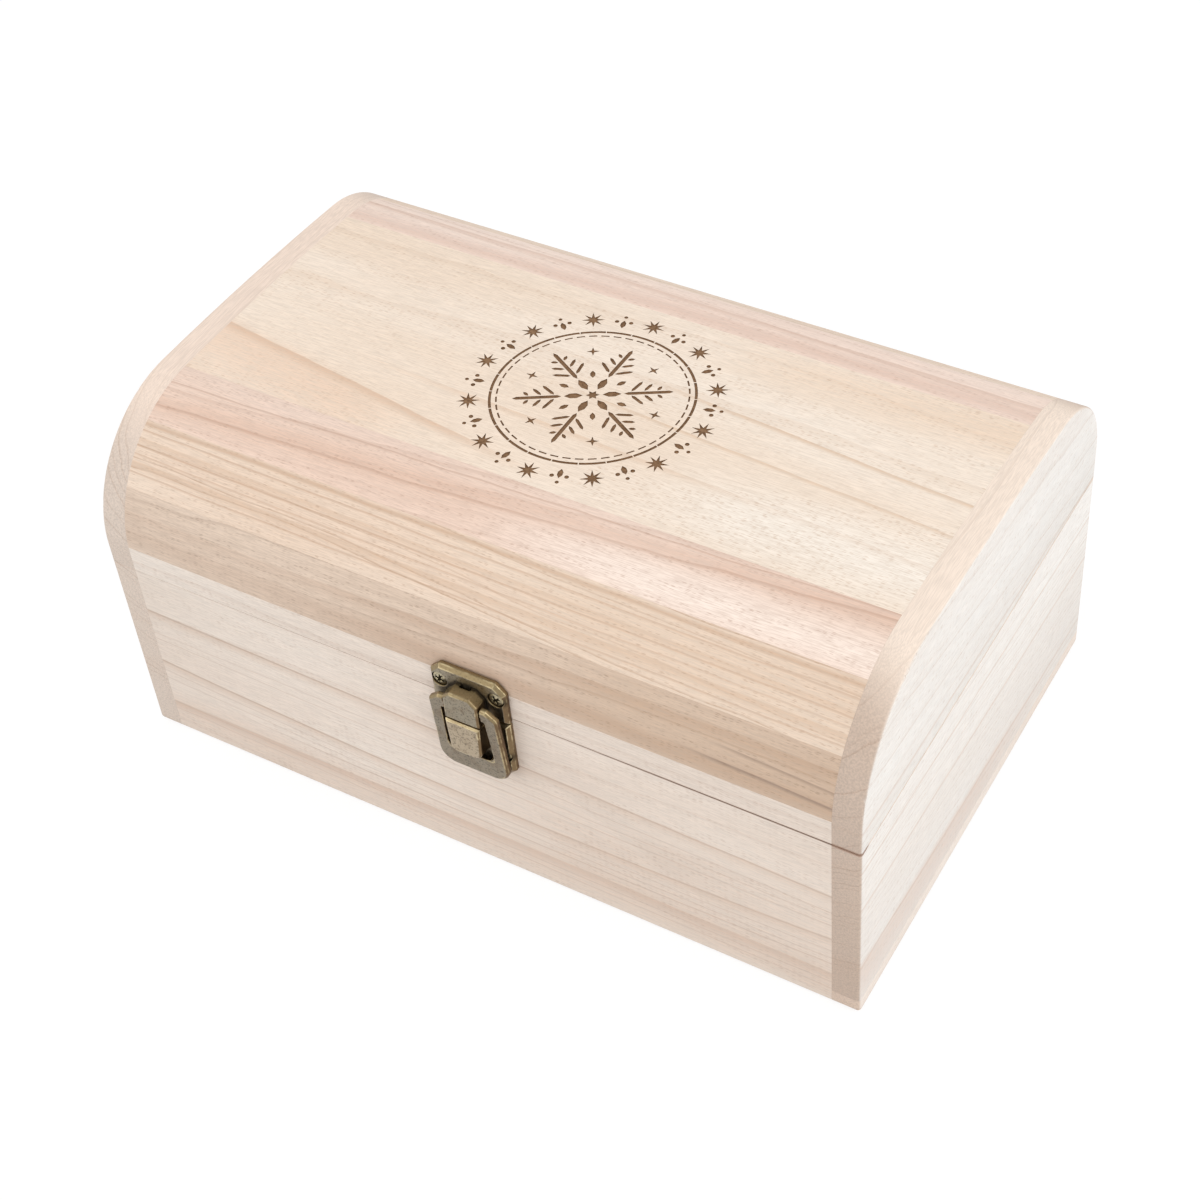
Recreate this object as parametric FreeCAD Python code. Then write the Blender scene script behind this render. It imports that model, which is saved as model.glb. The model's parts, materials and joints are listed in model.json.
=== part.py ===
import FreeCAD, Part
import math
import os

# A wooden keepsake chest with a rounded lid, in millimetres.
# X runs along the length, Y to the back and Z up; the origin is under the middle of the base.
length = 300.0
depth = 193.5
height = 144.7
front_shoulder_radius = 49.2
back_shoulder_radius = 41.2
crown_radius = 1270.0
crown_offset = -42.0
foot_radius = 2.0
arris_radius = 1.2

# Boards: the walls and staves are one thickness, the end boards and the base have their own.
board = 10.0
end_board = 10.4
base_thickness = 5.0
base_rebate = 5.0
base_play = 0.2
end_strip_height = 6.5
crown_board_width = 101.8
crown_board_offset = 3.6
stave_names = ["lower", "middle", "upper"]

# The upright boards end this far above the foot of their shoulder, and the saw cut lies this far below
# the front one's end. The cut is wider at the right end than at the left.
seam_rise = 2.1
rail_height = 11.5
kerf_left = 0.15
kerf_right = 0.6

# Clasp: two plates with a lug each, parted just below the saw cut, and a bail on the upper lug.
clasp_offset = 6.2
clasp_drop = 1.4
clasp_gap = 0.5
plate_width = 30.0
plate_thickness = 2.8
plate_corner = 3.9
plate_bevel = 1.3
upper_plate_height = 18.5
lower_plate_height = 27.6
lug_width = 13.8
lug_bevel = 0.7
upper_lug_height = 13.2
upper_lug_corner = 2.9
upper_lug_reach = 8.5
lug_notch_width = 4.3
lug_notch_depth = 2.0
lug_notch_reach = 1.2
lower_lug_height = 15.9
lower_lug_reach = 8.9
lower_lug_foot_width = 11.2
lower_lug_corner = 3.0
lower_lug_brow = 3.6
lower_lug_toe = 5.7

# Bail, measured from its pivot on the upper lug.
pivot_height = 6.4
pivot_reach = 6.4
pivot_radius = 1.1
pivot_depth = 2.2
pivot_play = 0.05
bail_side_play = 0.3
bail_thickness = 2.4
bail_bevel = 0.8
bail_drop = 34.6
bail_bar = 9.8
bail_width_top = 27.2
bail_width_foot = 28.2
bail_opening_top = 17.0
bail_opening_foot = 18.8
bail_ear = 2.7
bail_ear_length = 2.3
bail_bend = 3.4
bail_outer_corner = 6.5
bail_inner_corner = 1.5
bail_bend_round = 2.0
bail_lip = 0.5
bail_relief = 8.8
bail_lean_degrees = 4.0

# Clasp screws, with pan heads let into the plates.
clasp_screw_spacing = 22.2
upper_screw_height = 11.4
lower_screw_drop = 16.5
clasp_head_radius = 2.8
clasp_head_side = 0.7
clasp_head_dome = 0.6
clasp_head_play = 0.3
clasp_shank_radius = 1.0
clasp_shank_length = 8.6
counterbore_depth = 1.4

# Cross recess of every screw, as shares of its head's radius.
recess_span_share = 0.6
recess_width_share = 0.34
recess_depth_share = 0.3

# Two stop hinges on the back: ribs beside the knuckles meet when the lid is open.
hinge_inset = 62.0
leaf_width = 26.0
leaf_height = 13.0
leaf_thickness = 1.2
knuckle_count = 5
knuckle_radius = 2.2
knuckle_gap = 0.3
hinge_pin_radius = 1.1
hinge_pin_play = 0.05
lid_opening_degrees = 105.0
stop_play_degrees = 1.0
stop_reach = 4.2
stop_root = 7.0
hinge_screw_spacing = 15.0
hinge_screw_offset = 9.4
hinge_head_radius = 1.9
hinge_head_side = 0.4
hinge_head_dome = 0.5
hinge_shank_radius = 1.0
hinge_shank_length = 8.4

# Screws bite in pilot holes this much wider than the shank, and cuts run past a face by the overrun.
pilot_play = 0.05
overrun = 5.0

along_x = FreeCAD.Vector(1, 0, 0)
along_y = FreeCAD.Vector(0, 1, 0)
up = FreeCAD.Vector(0, 0, 1)
parts = {}


def point(x, y, z):
    return FreeCAD.Vector(x, y, z)


def line(start, end):
    return Part.LineSegment(start, end).toShape()


def arc(start, middle, end):
    return Part.Arc(start, middle, end).toShape()


def polygon(corners):
    return Part.Face(Part.makePolygon(corners + corners[:1]))


def bar_along_x(face, start, end):
    """A solid with this YZ section, from one X to another."""
    moved = face.copy()
    moved.translate(along_x * start)
    return moved.extrude(along_x * (end - start))


def box(low, high):
    size = high - low
    return Part.makeBox(size.x, size.y, size.z, low)


def edges_parallel(solid, direction, places):
    """The straight edges along a direction whose middle lies nearest to each of the given places."""
    straight = []
    for edge in solid.Edges:
        if edge.Curve.TypeId == "Part::GeomLine":
            tangent = edge.tangentAt(edge.FirstParameter)
            if math.isclose(abs(tangent.dot(direction)), 1):
                straight.append(edge)
    return [min(straight, key=lambda edge: edge.CenterOfMass.distanceToPoint(place)) for place in places]


def edges_at(solid, y):
    """The edges that lie in the plane at this Y."""
    return [edge for edge in solid.Edges if all(math.isclose(end.Y, y) for end in edge.Vertexes)]


# Rounded section of the chest, seen from the right-hand end
crown_centre = point(0, crown_offset, height - crown_radius)


def on_circle(y, centre, radius):
    """The upper point of a circle round a centre, at a given Y."""
    return point(0, y, centre.z + math.sqrt(radius ** 2 - (y - centre.y) ** 2))


def shoulder(side, radius):
    """Centre of a shoulder, front -1 or back 1, and the direction in which it meets the crown."""
    centre = on_circle(side * (depth / 2 - radius), crown_centre, crown_radius - radius)
    return centre, (centre - crown_centre).normalize()


front_centre, front_lean = shoulder(-1, front_shoulder_radius)
back_centre, back_lean = shoulder(1, back_shoulder_radius)

# Places that follow from the section and the sizes at the top
front_face = -depth / 2
back_face = depth / 2
inner_half = length / 2 - end_board
stave_count = len(stave_names)
parting_height = front_centre.z + seam_rise - rail_height
clasp_split = parting_height - clasp_drop
hinge_axis_y = back_face + knuckle_radius + knuckle_gap
hinge_axis_z = parting_height + (kerf_left + kerf_right) / 4


def outline(inset, foot):
    """Edges over the chest from its front foot to its back foot, set in, with rounded feet or none."""
    front_radius = front_shoulder_radius - inset
    back_radius = back_shoulder_radius - inset
    front = front_face + inset
    back = back_face - inset
    front_foot = point(0, front, foot)
    front_spring = point(0, front, front_centre.z)
    front_haunch = front_centre + (front_lean - along_y).normalize() * front_radius
    front_crown = front_centre + front_lean * front_radius
    back_crown = back_centre + back_lean * back_radius
    back_haunch = back_centre + (back_lean + along_y).normalize() * back_radius
    back_spring = point(0, back, back_centre.z)
    back_foot = point(0, back, foot)
    crown_middle = crown_centre + (front_lean + back_lean).normalize() * (crown_radius - inset)
    edges = [
        line(front_foot, front_spring),
        arc(front_spring, front_haunch, front_crown),
        arc(front_crown, crown_middle, back_crown),
        arc(back_crown, back_haunch, back_spring),
        line(back_spring, back_foot),
    ]
    if foot > 0:
        bow = foot * (1 - math.sqrt(0.5))
        edges.insert(0, arc(point(0, front + foot, 0), point(0, front + bow, bow), front_foot))
        edges.append(arc(back_foot, point(0, back - bow, bow), point(0, back - foot, 0)))
    return edges


def closed_section(edges):
    """A face from an open run of edges and the straight line that closes it."""
    start = edges[0].valueAt(edges[0].FirstParameter)
    end = edges[-1].valueAt(edges[-1].LastParameter)
    return Part.Face(Part.Wire(Part.__sortEdges__(edges + [line(end, start)])))


outer_section = closed_section(outline(0, foot_radius))
inner_section = closed_section(outline(board, 0))
wall_section = outer_section.cut(inner_section)
wall = bar_along_x(wall_section, -inner_half, inner_half)

# The saw cut, and what lies below and above it
far_x = length / 2 + overrun
far_y = depth / 2 + overrun
kerf_slope = (kerf_right - kerf_left) / length
kerf_middle = parting_height + (kerf_left + kerf_right) / 2
below_saw = box(point(-far_x, -far_y, -overrun), point(far_x, far_y, parting_height))
above_section = polygon([
    point(-far_x, -far_y, kerf_middle - kerf_slope * far_x),
    point(far_x, -far_y, kerf_middle + kerf_slope * far_x),
    point(far_x, -far_y, height + overrun),
    point(-far_x, -far_y, height + overrun),
])
above_saw = above_section.extrude(along_y * (2 * far_y))
base_bay = box(
    point(-inner_half - base_rebate, front_face + board - base_rebate, -overrun),
    point(inner_half + base_rebate, back_face - board + base_rebate, base_thickness),
)


# Walls and lid between the ends: upright boards, staves round the shoulders and a board on the crown
wedge_reach_share = 1.3


def shoulder_direction(side, angle):
    """Away from a shoulder's centre: level at angle 0 and straight up at a right angle."""
    return point(0, side * math.cos(angle), math.sin(angle))


def seam_angles(side, centre, radius):
    """Angles of the glue lines round a shoulder, from the upright board to the crown's board."""
    first = math.asin(seam_rise / radius)
    edge = on_circle(crown_board_offset + side * crown_board_width / 2, crown_centre, crown_radius)
    last = math.atan2(edge.z - centre.z, side * (edge.y - centre.y))
    return [first + (last - first) * index / stave_count for index in range(stave_count + 1)]


def wall_board(section):
    return wall.common(bar_along_x(section, -inner_half, inner_half))


def shoulder_boards(side, centre, radius):
    """The upright board under a shoulder, and its staves from the lowest up."""
    reach = radius * wedge_reach_share
    angles = seam_angles(side, centre, radius)
    tips = [centre + shoulder_direction(side, angle) * reach for angle in angles]
    foot_out = point(0, tips[0].y, -overrun)
    foot_in = point(0, centre.y, -overrun)
    upright = wall_board(polygon([centre, tips[0], foot_out, foot_in]))
    staves = [wall_board(polygon([centre, tips[k], tips[k + 1]])) for k in range(stave_count)]
    return upright, staves, tips[-1]


front_run = shoulder_boards(-1, front_centre, front_shoulder_radius)
back_run = shoulder_boards(1, back_centre, back_shoulder_radius)
front_upright, front_staves, front_tip = front_run
back_upright, back_staves, back_tip = back_run
crown_board = wall_board(polygon([front_centre, front_tip, back_tip, back_centre]))
for number in range(stave_count):
    parts["lid_front_stave_" + stave_names[number]] = front_staves[number]
    parts["lid_back_stave_" + stave_names[number]] = back_staves[number]
parts["lid_top_board"] = crown_board
parts["body_front"] = front_upright.common(below_saw).cut(base_bay)
parts["body_back"] = back_upright.common(below_saw).cut(base_bay)
parts["lid_front_rail"] = front_upright.common(above_saw)
parts["lid_back_rail"] = back_upright.common(above_saw)


# End boards: the whole section with its outer edge rounded over, then sawn with the rest
def end_of_chest(inside, outside):
    board_solid = bar_along_x(outer_section, inside, outside)
    rim = [edge for edge in board_solid.Edges if abs(edge.CenterOfMass.x - outside) < arris_radius / 2]
    return board_solid.makeFillet(arris_radius, rim)


left_end = end_of_chest(-inner_half, -length / 2)
right_end = end_of_chest(inner_half, length / 2)
strip_line = box(point(-far_x, -far_y, -overrun), point(far_x, far_y, end_strip_height))
right_end_low = right_end.common(below_saw).cut(base_bay)
parts["lid_left_end"] = left_end.common(above_saw)
parts["lid_right_end"] = right_end.common(above_saw)
parts["body_left_end"] = left_end.common(below_saw).cut(base_bay)
parts["body_right_end"] = right_end_low.cut(strip_line)
parts["body_right_end_strip"] = right_end_low.common(strip_line)

# Base panel, glued up into a rebate and flush with the feet of the walls
base_half_x = inner_half + base_rebate - base_play
base_half_y = depth / 2 - board + base_rebate - base_play
base_low = point(-base_half_x, -base_half_y, 0)
base_high = point(base_half_x, base_half_y, base_thickness)
parts["base_panel"] = box(base_low, base_high)


# Screws: a pan head on a plain shank, and the pilot hole that takes it
def pan_screw(head_radius, head_side, head_dome, shank_radius, shank_length):
    """A screw on the Z axis with its head's seat at zero and its shank below."""
    rim = point(head_radius, 0, head_side)
    crown = point(0, 0, head_side + head_dome)
    bulge_radius = (head_radius ** 2 + head_dome ** 2) / (2 * head_dome)
    half_way = math.asin(head_radius / bulge_radius) / 2
    bulge_centre = crown - up * bulge_radius
    bulge = bulge_centre + point(math.sin(half_way), 0, math.cos(half_way)) * bulge_radius
    profile = [
        line(point(0, 0, -shank_length), point(shank_radius, 0, -shank_length)),
        line(point(shank_radius, 0, -shank_length), point(shank_radius, 0, 0)),
        line(point(shank_radius, 0, 0), point(head_radius, 0, 0)),
        line(point(head_radius, 0, 0), rim),
        arc(rim, bulge, crown),
        line(crown, point(0, 0, -shank_length)),
    ]
    screw = Part.Face(Part.Wire(profile)).revolve(point(0, 0, 0), up, 360)
    long_half = head_radius * recess_span_share
    short_half = head_radius * recess_width_share / 2
    floor = crown.z - head_radius * recess_depth_share
    for half_x, half_y in ((long_half, short_half), (short_half, long_half)):
        screw = screw.cut(box(point(-half_x, -half_y, floor), point(half_x, half_y, crown.z + overrun)))
    return screw


def facing(solid, outward, seat):
    """Turn a shape made on the Z axis so that up becomes outward, and set it on its seat."""
    turned = solid.copy()
    turned.Placement = FreeCAD.Placement(seat, FreeCAD.Rotation(up, outward))
    return turned


def hole(radius, low, high):
    """A round cut on the Z axis."""
    return Part.makeCylinder(radius, high - low, point(0, 0, low))


clasp_screw = pan_screw(
    clasp_head_radius, clasp_head_side, clasp_head_dome, clasp_shank_radius, clasp_shank_length
)
hinge_screw = pan_screw(
    hinge_head_radius, hinge_head_side, hinge_head_dome, hinge_shank_radius, hinge_shank_length
)


def fasten(node_plate, node_wood, node_screws, screw, seats, outward, hole_low, shank_radius, counterbore):
    """Cut the screw holes in a plate and in the wood behind it, and put a screw in each."""
    bore = hole(shank_radius + pilot_play, hole_low, overrun)
    if counterbore > 0:
        bore = bore.fuse(hole(counterbore, 0, overrun))
    pilot = hole(shank_radius + pilot_play, hole_low, 0)
    for seat in seats:
        parts[node_plate] = parts[node_plate].cut(facing(bore, outward, seat))
        parts[node_wood] = parts[node_wood].cut(facing(pilot, outward, seat))
    placed = parts.get(node_screws, [])
    parts[node_screws] = placed + [facing(screw, outward, seat) for seat in seats]


# Clasp plates and lugs
def clasp_point(x, reach, z):
    """X from the clasp's middle, reach from the chest's front, Z from the line where the clasp parts."""
    return point(clasp_offset + x, front_face - reach, clasp_split + z)


def pressed_out(corners, start, end):
    """A solid with this front view, from one reach to another."""
    flat = polygon([clasp_point(x, start, z) for x, z in corners])
    return flat.extrude(along_y * (start - end))


def bevelled(solid, reach, bevel):
    """A clasp plate or lug with its front edges, at this reach, cut off."""
    return solid.makeChamfer(bevel, edges_at(solid, front_face - reach))


def clasp_plate(near, far):
    """A plate from the parting gap to its far edge, with cut far corners and a bevel all round."""
    half = plate_width / 2
    inward = math.copysign(plate_corner, near - far)
    corners = [(-half, near), (half, near), (half, far + inward), (half - plate_corner, far)]
    corners += [(plate_corner - half, far), (-half, far + inward)]
    plate = pressed_out(corners, 0, plate_thickness)
    return bevelled(plate, plate_thickness, plate_bevel)


half_gap = clasp_gap / 2
half_lug = lug_width / 2
lug_root = plate_thickness / 2


def upper_lug():
    """A block with cut upper corners, a bevelled front and a notch behind its top edge."""
    right = [(half_lug, half_gap), (half_lug, upper_lug_height - upper_lug_corner)]
    right.append((half_lug - upper_lug_corner, upper_lug_height))
    left = [(-x, z) for x, z in reversed(right)]
    lug = pressed_out(right + left, lug_root, upper_lug_reach)
    lug = bevelled(lug, upper_lug_reach, lug_bevel)
    notch_half = lug_notch_width / 2
    notch_front = plate_thickness + lug_notch_reach
    notch_low = clasp_point(-notch_half, notch_front, upper_lug_height - lug_notch_depth)
    notch_high = clasp_point(notch_half, plate_thickness, upper_lug_height + overrun)
    return lug.cut(box(notch_low, notch_high))


def lower_lug():
    """A block that narrows towards its foot, with rounded lower corners and a chin that slopes in."""
    half_foot = lower_lug_foot_width / 2
    corners = [(-half_lug, -half_gap), (half_lug, -half_gap)]
    corners += [(half_foot, -lower_lug_height), (-half_foot, -lower_lug_height)]
    lug = pressed_out(corners, lug_root, lower_lug_reach)
    half_way = (lug_root + lower_lug_reach) / 2
    feet = [clasp_point(side * half_foot, half_way, -lower_lug_height) for side in (-1, 1)]
    lug = lug.makeFillet(lower_lug_corner, edges_parallel(lug, along_y, feet))
    lug = bevelled(lug, lower_lug_reach, lug_bevel)
    low = -lower_lug_height - overrun
    far = lower_lug_reach + overrun
    side_view = [(lower_lug_reach, -lower_lug_brow), (lower_lug_toe, -lower_lug_height), (lower_lug_toe, low)]
    side_view += [(far, low), (far, -lower_lug_brow)]
    chin = polygon([clasp_point(-half_lug - overrun, reach, z) for reach, z in side_view])
    return lug.cut(chin.extrude(along_x * (lug_width + 2 * overrun)))


pivot = clasp_point(0, pivot_reach, pivot_height)
pin_tip = half_lug - pivot_depth
pivot_bore = Part.makeCylinder(
    pivot_radius + pivot_play, lug_width + 2 * overrun, pivot - along_x * (half_lug + overrun), along_x
)
lug_core = Part.makeBox(2 * pin_tip, lug_width, lug_width, pivot - point(pin_tip, half_lug, half_lug))
upper_plate = clasp_plate(half_gap, upper_plate_height).fuse(upper_lug())
parts["clasp_upper_plate"] = upper_plate.cut(pivot_bore.cut(lug_core)).removeSplitter()
parts["clasp_lower_plate"] = clasp_plate(-half_gap, -lower_plate_height).fuse(lower_lug()).removeSplitter()


# Bail: a flat loop with a broad bar at its foot, ears at its top and a pin on each ear
def bail_blank(right_side, rounds):
    """A flat solid as thick as the bail, from the right half of its front view, with rounded corners."""
    left_side = [(-x, drop) for x, drop in reversed(right_side)]
    corners = [point(x, bail_thickness / 2, -drop) for x, drop in right_side + left_side]
    blank = polygon(corners).extrude(along_y * -bail_thickness)
    for radius, x, drop in rounds:
        places = [point(side * x, 0, -drop) for side in (-1, 1)]
        blank = blank.makeFillet(radius, edges_parallel(blank, along_y, places))
    return blank


def bail():
    ear_in = half_lug + bail_side_play
    ear_out = ear_in + bail_ear_length
    bar_top = bail_drop - bail_bar
    bend = (bail_width_top / 2, bail_bend - bail_ear)
    foot = (bail_width_foot / 2, bail_drop)
    inner_foot = (bail_opening_foot / 2, bar_top)
    loop = bail_blank(
        [(ear_out, -bail_ear), bend, foot], [(bail_outer_corner, *foot), (bail_bend_round, *bend)]
    )
    half_thick = bail_thickness / 2
    loop = loop.makeChamfer(bail_bevel, edges_at(loop, -half_thick))
    opening = bail_blank(
        [(ear_in, -bail_ear - overrun), (ear_in, bail_ear), (bail_opening_top / 2, bail_ear), inner_foot],
        [(bail_inner_corner, *inner_foot)],
    )
    lip = bail_lip - half_thick
    ramp = polygon([
        point(0, lip, overrun - bar_top),
        point(0, half_thick + overrun, overrun - bar_top),
        point(0, half_thick + overrun, -bar_top - bail_relief),
        point(0, half_thick, -bar_top - bail_relief),
        point(0, lip, -bar_top),
    ])
    loop = loop.cut(opening).cut(bar_along_x(ramp, -ear_in, ear_in))
    for side in (-1, 1):
        pin_root = point(side * (ear_in + bail_ear_length / 2), 0, 0)
        pin_length = ear_in + bail_ear_length / 2 - pin_tip - bail_side_play
        loop = loop.fuse(Part.makeCylinder(pivot_radius, pin_length, pin_root, along_x * -side))
    loop.rotate(point(0, 0, 0), along_x, bail_lean_degrees)
    loop.translate(pivot)
    return loop.removeSplitter()


parts["clasp_bail"] = bail()

screw_seat = plate_thickness - counterbore_depth
for node_plate, node_wood, node_screws, z in (
    ("clasp_upper_plate", "lid_front_rail", "clasp_upper_screws", upper_screw_height),
    ("clasp_lower_plate", "body_front", "clasp_lower_screws", -lower_screw_drop),
):
    seats = [clasp_point(side * clasp_screw_spacing / 2, screw_seat, z) for side in (-1, 1)]
    fasten(
        node_plate, node_wood, node_screws, clasp_screw, seats, along_y * -1,
        -clasp_shank_length, clasp_shank_radius, clasp_head_radius + clasp_head_play,
    )


# Hinges: leaves with interleaved knuckles, stop ribs and a pin
def hinge_point(reach, rise):
    """A point of a hinge's section, back and up from its pin."""
    return point(0, hinge_axis_y + reach, hinge_axis_z + rise)


def leaf_section(side):
    """A leaf and its stop rib: side -1 hangs on the chest, side 1 stands on the lid."""
    wood = back_face - hinge_axis_y
    skin = wood + leaf_thickness
    clear = knuckle_radius + knuckle_gap
    stop = math.radians((180 - lid_opening_degrees - stop_play_degrees) / 2)
    meet = math.sqrt(clear ** 2 - skin ** 2)
    bend = (stop + math.atan2(skin, meet)) / 2
    corners = [
        hinge_point(skin, side * meet),
        hinge_point(math.sin(bend) * clear, side * math.cos(bend) * clear),
        hinge_point(math.sin(stop) * clear, side * math.cos(stop) * clear),
        hinge_point(math.sin(stop) * stop_reach, side * math.cos(stop) * stop_reach),
        hinge_point(skin, side * stop_root),
        hinge_point(skin, side * leaf_height),
        hinge_point(wood, side * leaf_height),
        hinge_point(wood, side * meet),
    ]
    edges = [arc(corners[0], corners[1], corners[2])]
    edges += [line(corners[k], corners[k + 1]) for k in range(2, len(corners) - 1)]
    edges.append(line(corners[-1], corners[0]))
    return Part.Face(Part.Wire(edges)), wood, skin


def hinge_leaf(side, centre_x):
    """One leaf, with the odd knuckles on the chest and the even ones on the lid."""
    section, wood, skin = leaf_section(side)
    left = centre_x - leaf_width / 2
    leaf = bar_along_x(section, left, left + leaf_width)
    pitch = leaf_width / knuckle_count
    web = polygon([
        hinge_point(wood, 0),
        hinge_point(skin, 0),
        hinge_point(skin, side * stop_root),
        hinge_point(wood, side * stop_root),
    ])
    first = 0 if side < 0 else 1
    for number in range(first, knuckle_count, 2):
        start = left + number * pitch + knuckle_gap / 2
        end = left + (number + 1) * pitch - knuckle_gap / 2
        barrel_start = hinge_point(0, 0) + along_x * start
        barrel = Part.makeCylinder(knuckle_radius, end - start, barrel_start, along_x)
        leaf = leaf.fuse(bar_along_x(web, start, end)).fuse(barrel)
    bore_start = hinge_point(0, 0) + along_x * (left - overrun)
    bore_radius = hinge_pin_radius + hinge_pin_play
    bore = Part.makeCylinder(bore_radius, leaf_width + 2 * overrun, bore_start, along_x)
    return leaf.cut(bore).removeSplitter()


hinge_x = length / 2 - hinge_inset
for place, centre_x in (("left", -hinge_x), ("right", hinge_x)):
    pin_start = hinge_point(0, 0) + along_x * (centre_x - leaf_width / 2)
    parts["hinge_" + place + "_pin"] = Part.makeCylinder(hinge_pin_radius, leaf_width, pin_start, along_x)
    for half, side, node_wood in (("body", -1, "body_back"), ("lid", 1, "lid_back_rail")):
        node_leaf = "hinge_" + place + "_" + half + "_leaf"
        parts[node_leaf] = hinge_leaf(side, centre_x)
        seats = []
        for hand in (-1, 1):
            seat = hinge_point(back_face + leaf_thickness - hinge_axis_y, side * hinge_screw_offset)
            seats.append(seat + along_x * (centre_x + hand * hinge_screw_spacing / 2))
        fasten(
            node_leaf, node_wood, "hinge_" + half + "_screws", hinge_screw, seats, along_y,
            -hinge_shank_length, hinge_shank_radius, 0,
        )

# Each piece is written as its own file, and screws of one kind as a group
os.makedirs("parts", exist_ok=True)
for node, shape in sorted(parts.items()):
    piece = Part.makeCompound(shape) if isinstance(shape, list) else shape
    piece.exportStep("parts/" + node + ".step")
    solids = len(piece.Solids)
    print(f"{node:24s} solids {solids}  valid {piece.isValid()}  volume {piece.Volume / 1000:8.3f} cm3")
print(len(parts), "nodes")
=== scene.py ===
# %% [markdown]
# # A keepsake chest with a rounded lid
# The real chest is glued up as a closed box of pale paulownia boards and then sawn apart into a chest and a
# lid, so the grain runs on across the cut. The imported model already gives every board, plate and screw its
# place. This lesson dresses those solids: the room first, then the wood, the burnt design and the brass.

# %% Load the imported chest
import json
import math
import bpy
import bmesh
from mathutils import Matrix, Vector, kdtree


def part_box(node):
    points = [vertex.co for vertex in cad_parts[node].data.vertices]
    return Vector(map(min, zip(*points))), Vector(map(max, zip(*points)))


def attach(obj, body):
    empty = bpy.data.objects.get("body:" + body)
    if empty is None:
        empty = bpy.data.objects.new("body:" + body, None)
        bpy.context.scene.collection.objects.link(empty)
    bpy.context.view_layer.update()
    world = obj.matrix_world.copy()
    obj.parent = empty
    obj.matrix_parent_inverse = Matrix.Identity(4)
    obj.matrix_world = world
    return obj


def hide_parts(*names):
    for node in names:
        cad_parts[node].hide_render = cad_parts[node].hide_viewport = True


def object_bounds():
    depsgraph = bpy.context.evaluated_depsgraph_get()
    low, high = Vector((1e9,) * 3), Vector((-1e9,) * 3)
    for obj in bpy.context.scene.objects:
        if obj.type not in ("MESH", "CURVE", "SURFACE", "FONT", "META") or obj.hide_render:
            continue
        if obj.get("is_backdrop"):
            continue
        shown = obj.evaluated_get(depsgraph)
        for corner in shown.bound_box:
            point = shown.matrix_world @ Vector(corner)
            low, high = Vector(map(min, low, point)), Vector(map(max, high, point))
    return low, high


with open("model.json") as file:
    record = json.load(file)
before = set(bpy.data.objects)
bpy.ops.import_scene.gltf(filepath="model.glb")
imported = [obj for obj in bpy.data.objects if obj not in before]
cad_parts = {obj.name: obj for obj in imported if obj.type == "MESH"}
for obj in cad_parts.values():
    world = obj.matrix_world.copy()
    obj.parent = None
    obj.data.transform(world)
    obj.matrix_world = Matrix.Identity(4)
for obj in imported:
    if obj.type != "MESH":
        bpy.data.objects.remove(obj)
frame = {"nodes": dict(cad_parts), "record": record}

mm = 0.001
cad_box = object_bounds()
record = frame["record"]
body_of = {node: body for body, nodes in record["behaviour"]["bodies"].items() for node in nodes}
print("chest of", len(body_of), "nodes, in mm:", [round(side / mm, 1) for side in cad_box[1] - cad_box[0]])

# %% [markdown]
# ## Short hands for nodes
# Shaders and Geometry Nodes are both trees of nodes with sockets. Written out in full, every node takes four
# or five lines, so these helpers add a node, feed it and hand back its socket in one line each. Colours are
# written as an eye dropper reads them, 0 to 255, and turned into the linear light that a socket holds.

# %% Helpers that add and feed nodes
def feed(tree, node, inputs):
    """Feed a node's inputs, each with a socket or with a plain value."""
    for key, value in inputs.items():
        if isinstance(value, bpy.types.NodeSocket):
            tree.links.new(value, node.inputs[key])
        else:
            node.inputs[key].default_value = value


def put(tree, kind, inputs=None, **settings):
    """Add a node with its settings and feed its inputs."""
    node = tree.nodes.new(kind)
    for name, value in settings.items():
        setattr(node, name, value)
    feed(tree, node, inputs or {})
    return node


def maths(tree, operation, first, second=0.0, third=0.0):
    return put(tree, "ShaderNodeMath", {0: first, 1: second, 2: third}, operation=operation).outputs[0]


def times(tree, first, second):
    return maths(tree, "MULTIPLY", first, second)


def vectors(tree, operation, first, second=(0, 0, 0), third=(0, 0, 0)):
    return put(tree, "ShaderNodeVectorMath", {0: first, 1: second, 2: third}, operation=operation).outputs[0]


def split(tree, vector):
    return put(tree, "ShaderNodeSeparateXYZ", {0: vector}).outputs


def joined(tree, x=0.0, y=0.0, z=0.0):
    return put(tree, "ShaderNodeCombineXYZ", {0: x, 1: y, 2: z}).outputs[0]


print("node helpers ready")

# %% Helpers for colours, soft steps and noise
def srgb(red, green, blue):
    """A colour of 0 to 255 as linear light with full alpha."""
    shares = [value / 255 for value in (red, green, blue)]
    light = [share / 12.92 if share <= 0.04045 else ((share + 0.055) / 1.055) ** 2.4 for share in shares]
    return (*light, 1.0)


def tint(tree, share, first, second, way="MIX"):
    """Go from the first colour to the second by a share."""
    inputs = {0: share, 6: first, 7: second}
    return put(tree, "ShaderNodeMix", inputs, data_type="RGBA", blend_type=way).outputs[2]


def fade(tree, value, start, end, low=0.0, high=1.0):
    """A soft step from low at start to high at end."""
    inputs = {0: value, 1: start, 2: end, 3: low, 4: high}
    return put(tree, "ShaderNodeMapRange", inputs, interpolation_type="SMOOTHSTEP").outputs[0]


def noise(tree, place, scale, detail):
    inputs = {"Vector": place, "Scale": scale, "Detail": detail}
    return put(tree, "ShaderNodeTexNoise", inputs).outputs[0]


print("mid grey as linear light:", round(srgb(128, 128, 128)[0], 3))

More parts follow.
